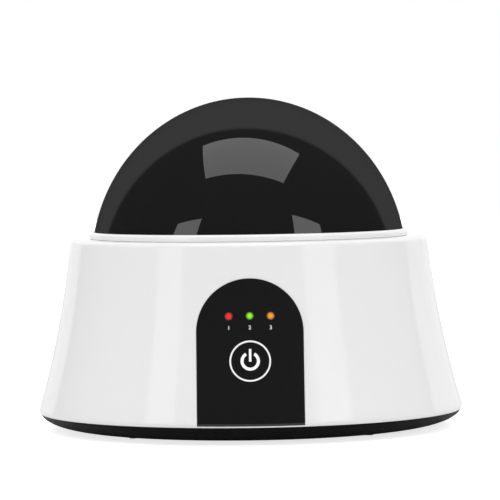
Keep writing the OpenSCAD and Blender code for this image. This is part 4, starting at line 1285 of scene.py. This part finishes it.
PIN_END, PIN_TIP, TIP_R = INLET_Y - 15.4, INLET_Y - 1, 0.9
pin_section = [(0, PIN_END), (1.6, PIN_END), (1.6, SOCKET_BACK), (1.2, SOCKET_BACK), (1.2, PIN_TIP - TIP_R)]
pin_section += arc((0.3, PIN_TIP - TIP_R), TIP_R, 0, 90, 6)[1:] + [(0, PIN_TIP)]
pins = join("contact_pins", [lathe("pin", pin_section, 48, lambda x, y, h, s=s: (x + s, h, y + INLET_Z))
                             for s in (-PIN_X, PIN_X)])
hand_over(smooth(pins), "nickel_plate", "housing", "brass_tin", "inlet_pins")

# %% [markdown]
# ## Pieces kept from the CAD model
#
# The hinge pin, the seals, the heater stack, the boards and the wiring already have their
# right shapes. They keep them, and each gets the finish of what it is made of.

# %% Finishes for the kept pieces
kept = {
    "zinc_plate": ["hinge_pin", "control_board_screws", "heater_clamp", "heater_screws",
                   "power_board_screws"],
    "black_silicone": ["lid_seal"], "red_silicone": ["heater_seal"], "turned_aluminium": ["heater_plate"],
    "led_epoxy": ["indicator_lamps"], "solder_mask": ["control_board", "power_board"],
    "glossy_black_nylon": ["tact_switch", "switch_plunger", "thermostat"],
    "natural_nylon": ["control_connector", "ribbon_socket"], "mica_sheet": ["heating_element"],
    "fibre_board": ["insulation_disc"], "nickel_plate": ["thermal_fuse"], "copper_winding": ["transformer"],
    "blue_polyester": ["relay"], "capacitor_sleeve": ["capacitor"], "clear_tube": ["mains_fuse"],
    "green_polyamide": ["mains_terminal", "heater_terminal"], "brown_lead": ["mains_leads"],
    "red_lead": ["heater_leads"], "grey_ribbon": ["control_ribbon"],
}
for finish, names in kept.items():
    for name in names:
        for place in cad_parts[name].material_slots:
            place.material = bpy.data.materials[finish]
print("kept pieces:", sum(len(names) for names in kept.values()))

# %% [markdown]
# ## Floor, sky and lights
#
# The photograph is a cut-out on pure white. The floor and the world are white to the camera, so
# that white doesn't have to come from more light. Light for the matt part of a finish comes
# evenly from the whole world, with a wide soft box overhead.
#
# What the gloss shows is of two kinds in the photograph. Mirror-polished pieces, with a
# roughness of up to 0.003, show a dark room with bright cards in front and a pale round
# backdrop. The softer gloss of the housing shows a light room with a wedge of light behind it
# and a card on either side. The renderer calls the rays that leave a mirror-smooth surface
# singular, and that tells the two apart in the world and on each card.

# %% Floor
def bare_tree(data):
    """The node tree of a new material or world, emptied."""
    data.use_nodes = True
    data.node_tree.nodes.clear()
    return data.node_tree


FLOOR_HALF, FLOOR_TONE, FLOOR_GLOW = 4000, 0.85, 0.75
corners = rectangle(-FLOOR_HALF, FLOOR_HALF, -FLOOR_HALF, FLOOR_HALF)
floor = mesh_object("floor", [(x, y, 0) for x, y in corners], [(0, 1, 2, 3)])
white_floor = bpy.data.materials.new("white_studio_floor")
tree = bare_tree(white_floor)
seen = add(tree, "ShaderNodeLightPath").outputs["Is Camera Ray"]
bright = add(tree, "ShaderNodeMath", {0: seen, 1: FLOOR_GLOW}, operation="MULTIPLY")
glow = add(tree, "ShaderNodeEmission", {"Color": (1, 1, 1, 1), "Strength": bright})
matt = add(tree, "ShaderNodeBsdfDiffuse", {"Color": (FLOOR_TONE, FLOOR_TONE, FLOOR_TONE, 1)})
both = add(tree, "ShaderNodeAddShader", {0: glow, 1: matt})
add(tree, "ShaderNodeOutputMaterial", {0: both})
floor.data.materials.append(white_floor)

# %% [markdown]
# The round backdrop is a patch of the world, given by the way to its middle and the cosine of
# its half width. Gloss grows stronger towards the dome's outline, where it shows the part of the
# backdrop straight behind. So the backdrop darkens towards there, and the band stays even. The
# wedge is the part of the world whose Y, times the spread, is more than its distance from a
# middle line that is shifted to the right.

# %% World
WORLD_SOFT, DARK_ROOM = 0.95, 0.03
BACKDROP_WAY, BACKDROP_EDGE, BACKDROP_BLUR = (0.038, 0.929, 0.369), 0.608, 0.04
PALE_Y, PALE_TONE, DARK_Y, DARK_TONE = 0.24, 0.43, 0.985, 0.044
LIGHT_ROOM, LIGHT_WEDGE, WEDGE_SPREAD, WEDGE_SHIFT, WEDGE_BLUR = 0.42, 1.02, 1.335, 0.365, 0.02
world = bpy.data.worlds.new("studio")
bpy.context.scene.world = world
tree = bare_tree(world)
sees = add(tree, "ShaderNodeLightPath").outputs
way = add(tree, "ShaderNodeTexCoord").outputs["Object"]
parts = add(tree, "ShaderNodeSeparateXYZ", {0: way}).outputs
toward = add(tree, "ShaderNodeVectorMath", {0: way, 1: BACKDROP_WAY}, operation="DOT_PRODUCT")
patch = add(tree, "ShaderNodeMapRange", {"Value": toward.outputs["Value"],
                                         "From Min": BACKDROP_EDGE - BACKDROP_BLUR,
                                         "From Max": BACKDROP_EDGE + BACKDROP_BLUR},
            interpolation_type="SMOOTHSTEP")
pale = add(tree, "ShaderNodeMapRange", {"Value": parts[1], "From Min": PALE_Y, "From Max": DARK_Y,
                                        "To Min": PALE_TONE, "To Max": DARK_TONE})
found = chain(
    tree, "ShaderNodeMath", dict(sees.items(), x=parts[0], y=parts[1], patch=patch, pale=pale),
    mirror=("MAXIMUM", ("MULTIPLY", "patch", "pale"), DARK_ROOM),
    off_middle=("ABSOLUTE", ("SUBTRACT", "x", ("MULTIPLY", "y", WEDGE_SHIFT))),
    within=("SUBTRACT", ("MULTIPLY", "y", WEDGE_SPREAD), "off_middle"),
    seen=("MAXIMUM", "Is Camera Ray", "Is Transmission Ray"))
wedge = add(tree, "ShaderNodeMapRange", {
    "Value": found["within"], "From Min": -WEDGE_BLUR, "From Max": WEDGE_BLUR, "To Min": LIGHT_ROOM,
    "To Max": LIGHT_WEDGE})
gloss = add(tree, "ShaderNodeMix", {0: sees["Is Singular Ray"], 2: wedge, 3: found["mirror"]})
level = add(tree, "ShaderNodeMix", {0: sees["Is Glossy Ray"], 2: WORLD_SOFT, 3: gloss})
level = add(tree, "ShaderNodeMix", {0: found["seen"], 2: level, 3: 1.0})
sky = add(tree, "ShaderNodeBackground", {"Color": (1, 1, 1, 1), "Strength": level})
add(tree, "ShaderNodeOutputWorld", {0: sky})
print("world:", len(tree.nodes), "nodes")

# %% [markdown]
# The soft box lights the machine, and gloss doesn't see it. What gloss sees in its place is a
# card of the same brightness, whose outline follows the highlight on top of the dome. The other
# cards' corners were worked out in the same way, from the highlights in the photograph.

# %% Soft box and cards
BOX_RADIANCE, DOME_RADIANCE, SIDE_RADIANCE = 2.2, 2.4, 1.48
soft_box = bpy.data.lights.new("soft_box", "AREA")
soft_box.shape, soft_box.size, soft_box.size_y = "RECTANGLE", 1060 * MM, 650 * MM
soft_box.energy = BOX_RADIANCE * math.pi * soft_box.size * soft_box.size_y
overhead = placed("soft_box", soft_box)
overhead.location = Vector((15, -280, 1170)) * MM
overhead.visible_camera = overhead.visible_glossy = False


def card(name, radiance, mirror, satin, *corners):
    """A card that only gloss sees, from its four corners. mirror and satin are the shares that see it."""
    made = mesh_object(name, corners, [(0, 1, 2, 3)])
    lit = bpy.data.materials.new(name)
    tree = bare_tree(lit)
    sharp = add(tree, "ShaderNodeLightPath").outputs["Is Singular Ray"]
    shows = add(tree, "ShaderNodeMix", {0: sharp, 2: satin, 3: mirror})
    shine = add(tree, "ShaderNodeEmission", {"Color": (1, 1, 1, 1), "Strength": radiance})
    clear = add(tree, "ShaderNodeBsdfTransparent")
    both = add(tree, "ShaderNodeMixShader", {0: shows, 1: clear, 2: shine})
    add(tree, "ShaderNodeOutputMaterial", {0: both})
    made.data.materials.append(lit)
    made.visible_camera = made.visible_diffuse = made.visible_shadow = False
    print("card:", name)


card("overhead_card", BOX_RADIANCE, 1.0, 1.0,
     (-454, 92, 1170), (576, -16, 1170), (521, -667, 1170), (-583, -518, 1170))
card("dome_left_card", DOME_RADIANCE, 1.0, 0.0,
     (-757, -857, 20), (-1340, -717, 20), (-1119, -771, 700), (-657, -881, 700))
card("dome_right_card", DOME_RADIANCE, 1.0, 0.0,
     (538, -863, 20), (1205, -872, 20), (1202, -819, 700), (583, -840, 700))
card("side_left_card", SIDE_RADIANCE, 0.0, 1.0,
     (-776, -947, 0), (-1001, -694, 0), (-1074, -639, 700), (-852, -921, 700))
card("side_right_card", SIDE_RADIANCE, 0.0, 1.0,
     (588, -1085, 0), (948, -776, 0), (1073, -645, 700), (792, -976, 700))

# %% [markdown]
# Last come the view settings. The view transform is Standard, so a colour comes out of the render as it was
# written in the material.

# %% Finish
bpy.context.scene.view_settings.view_transform = "Standard"
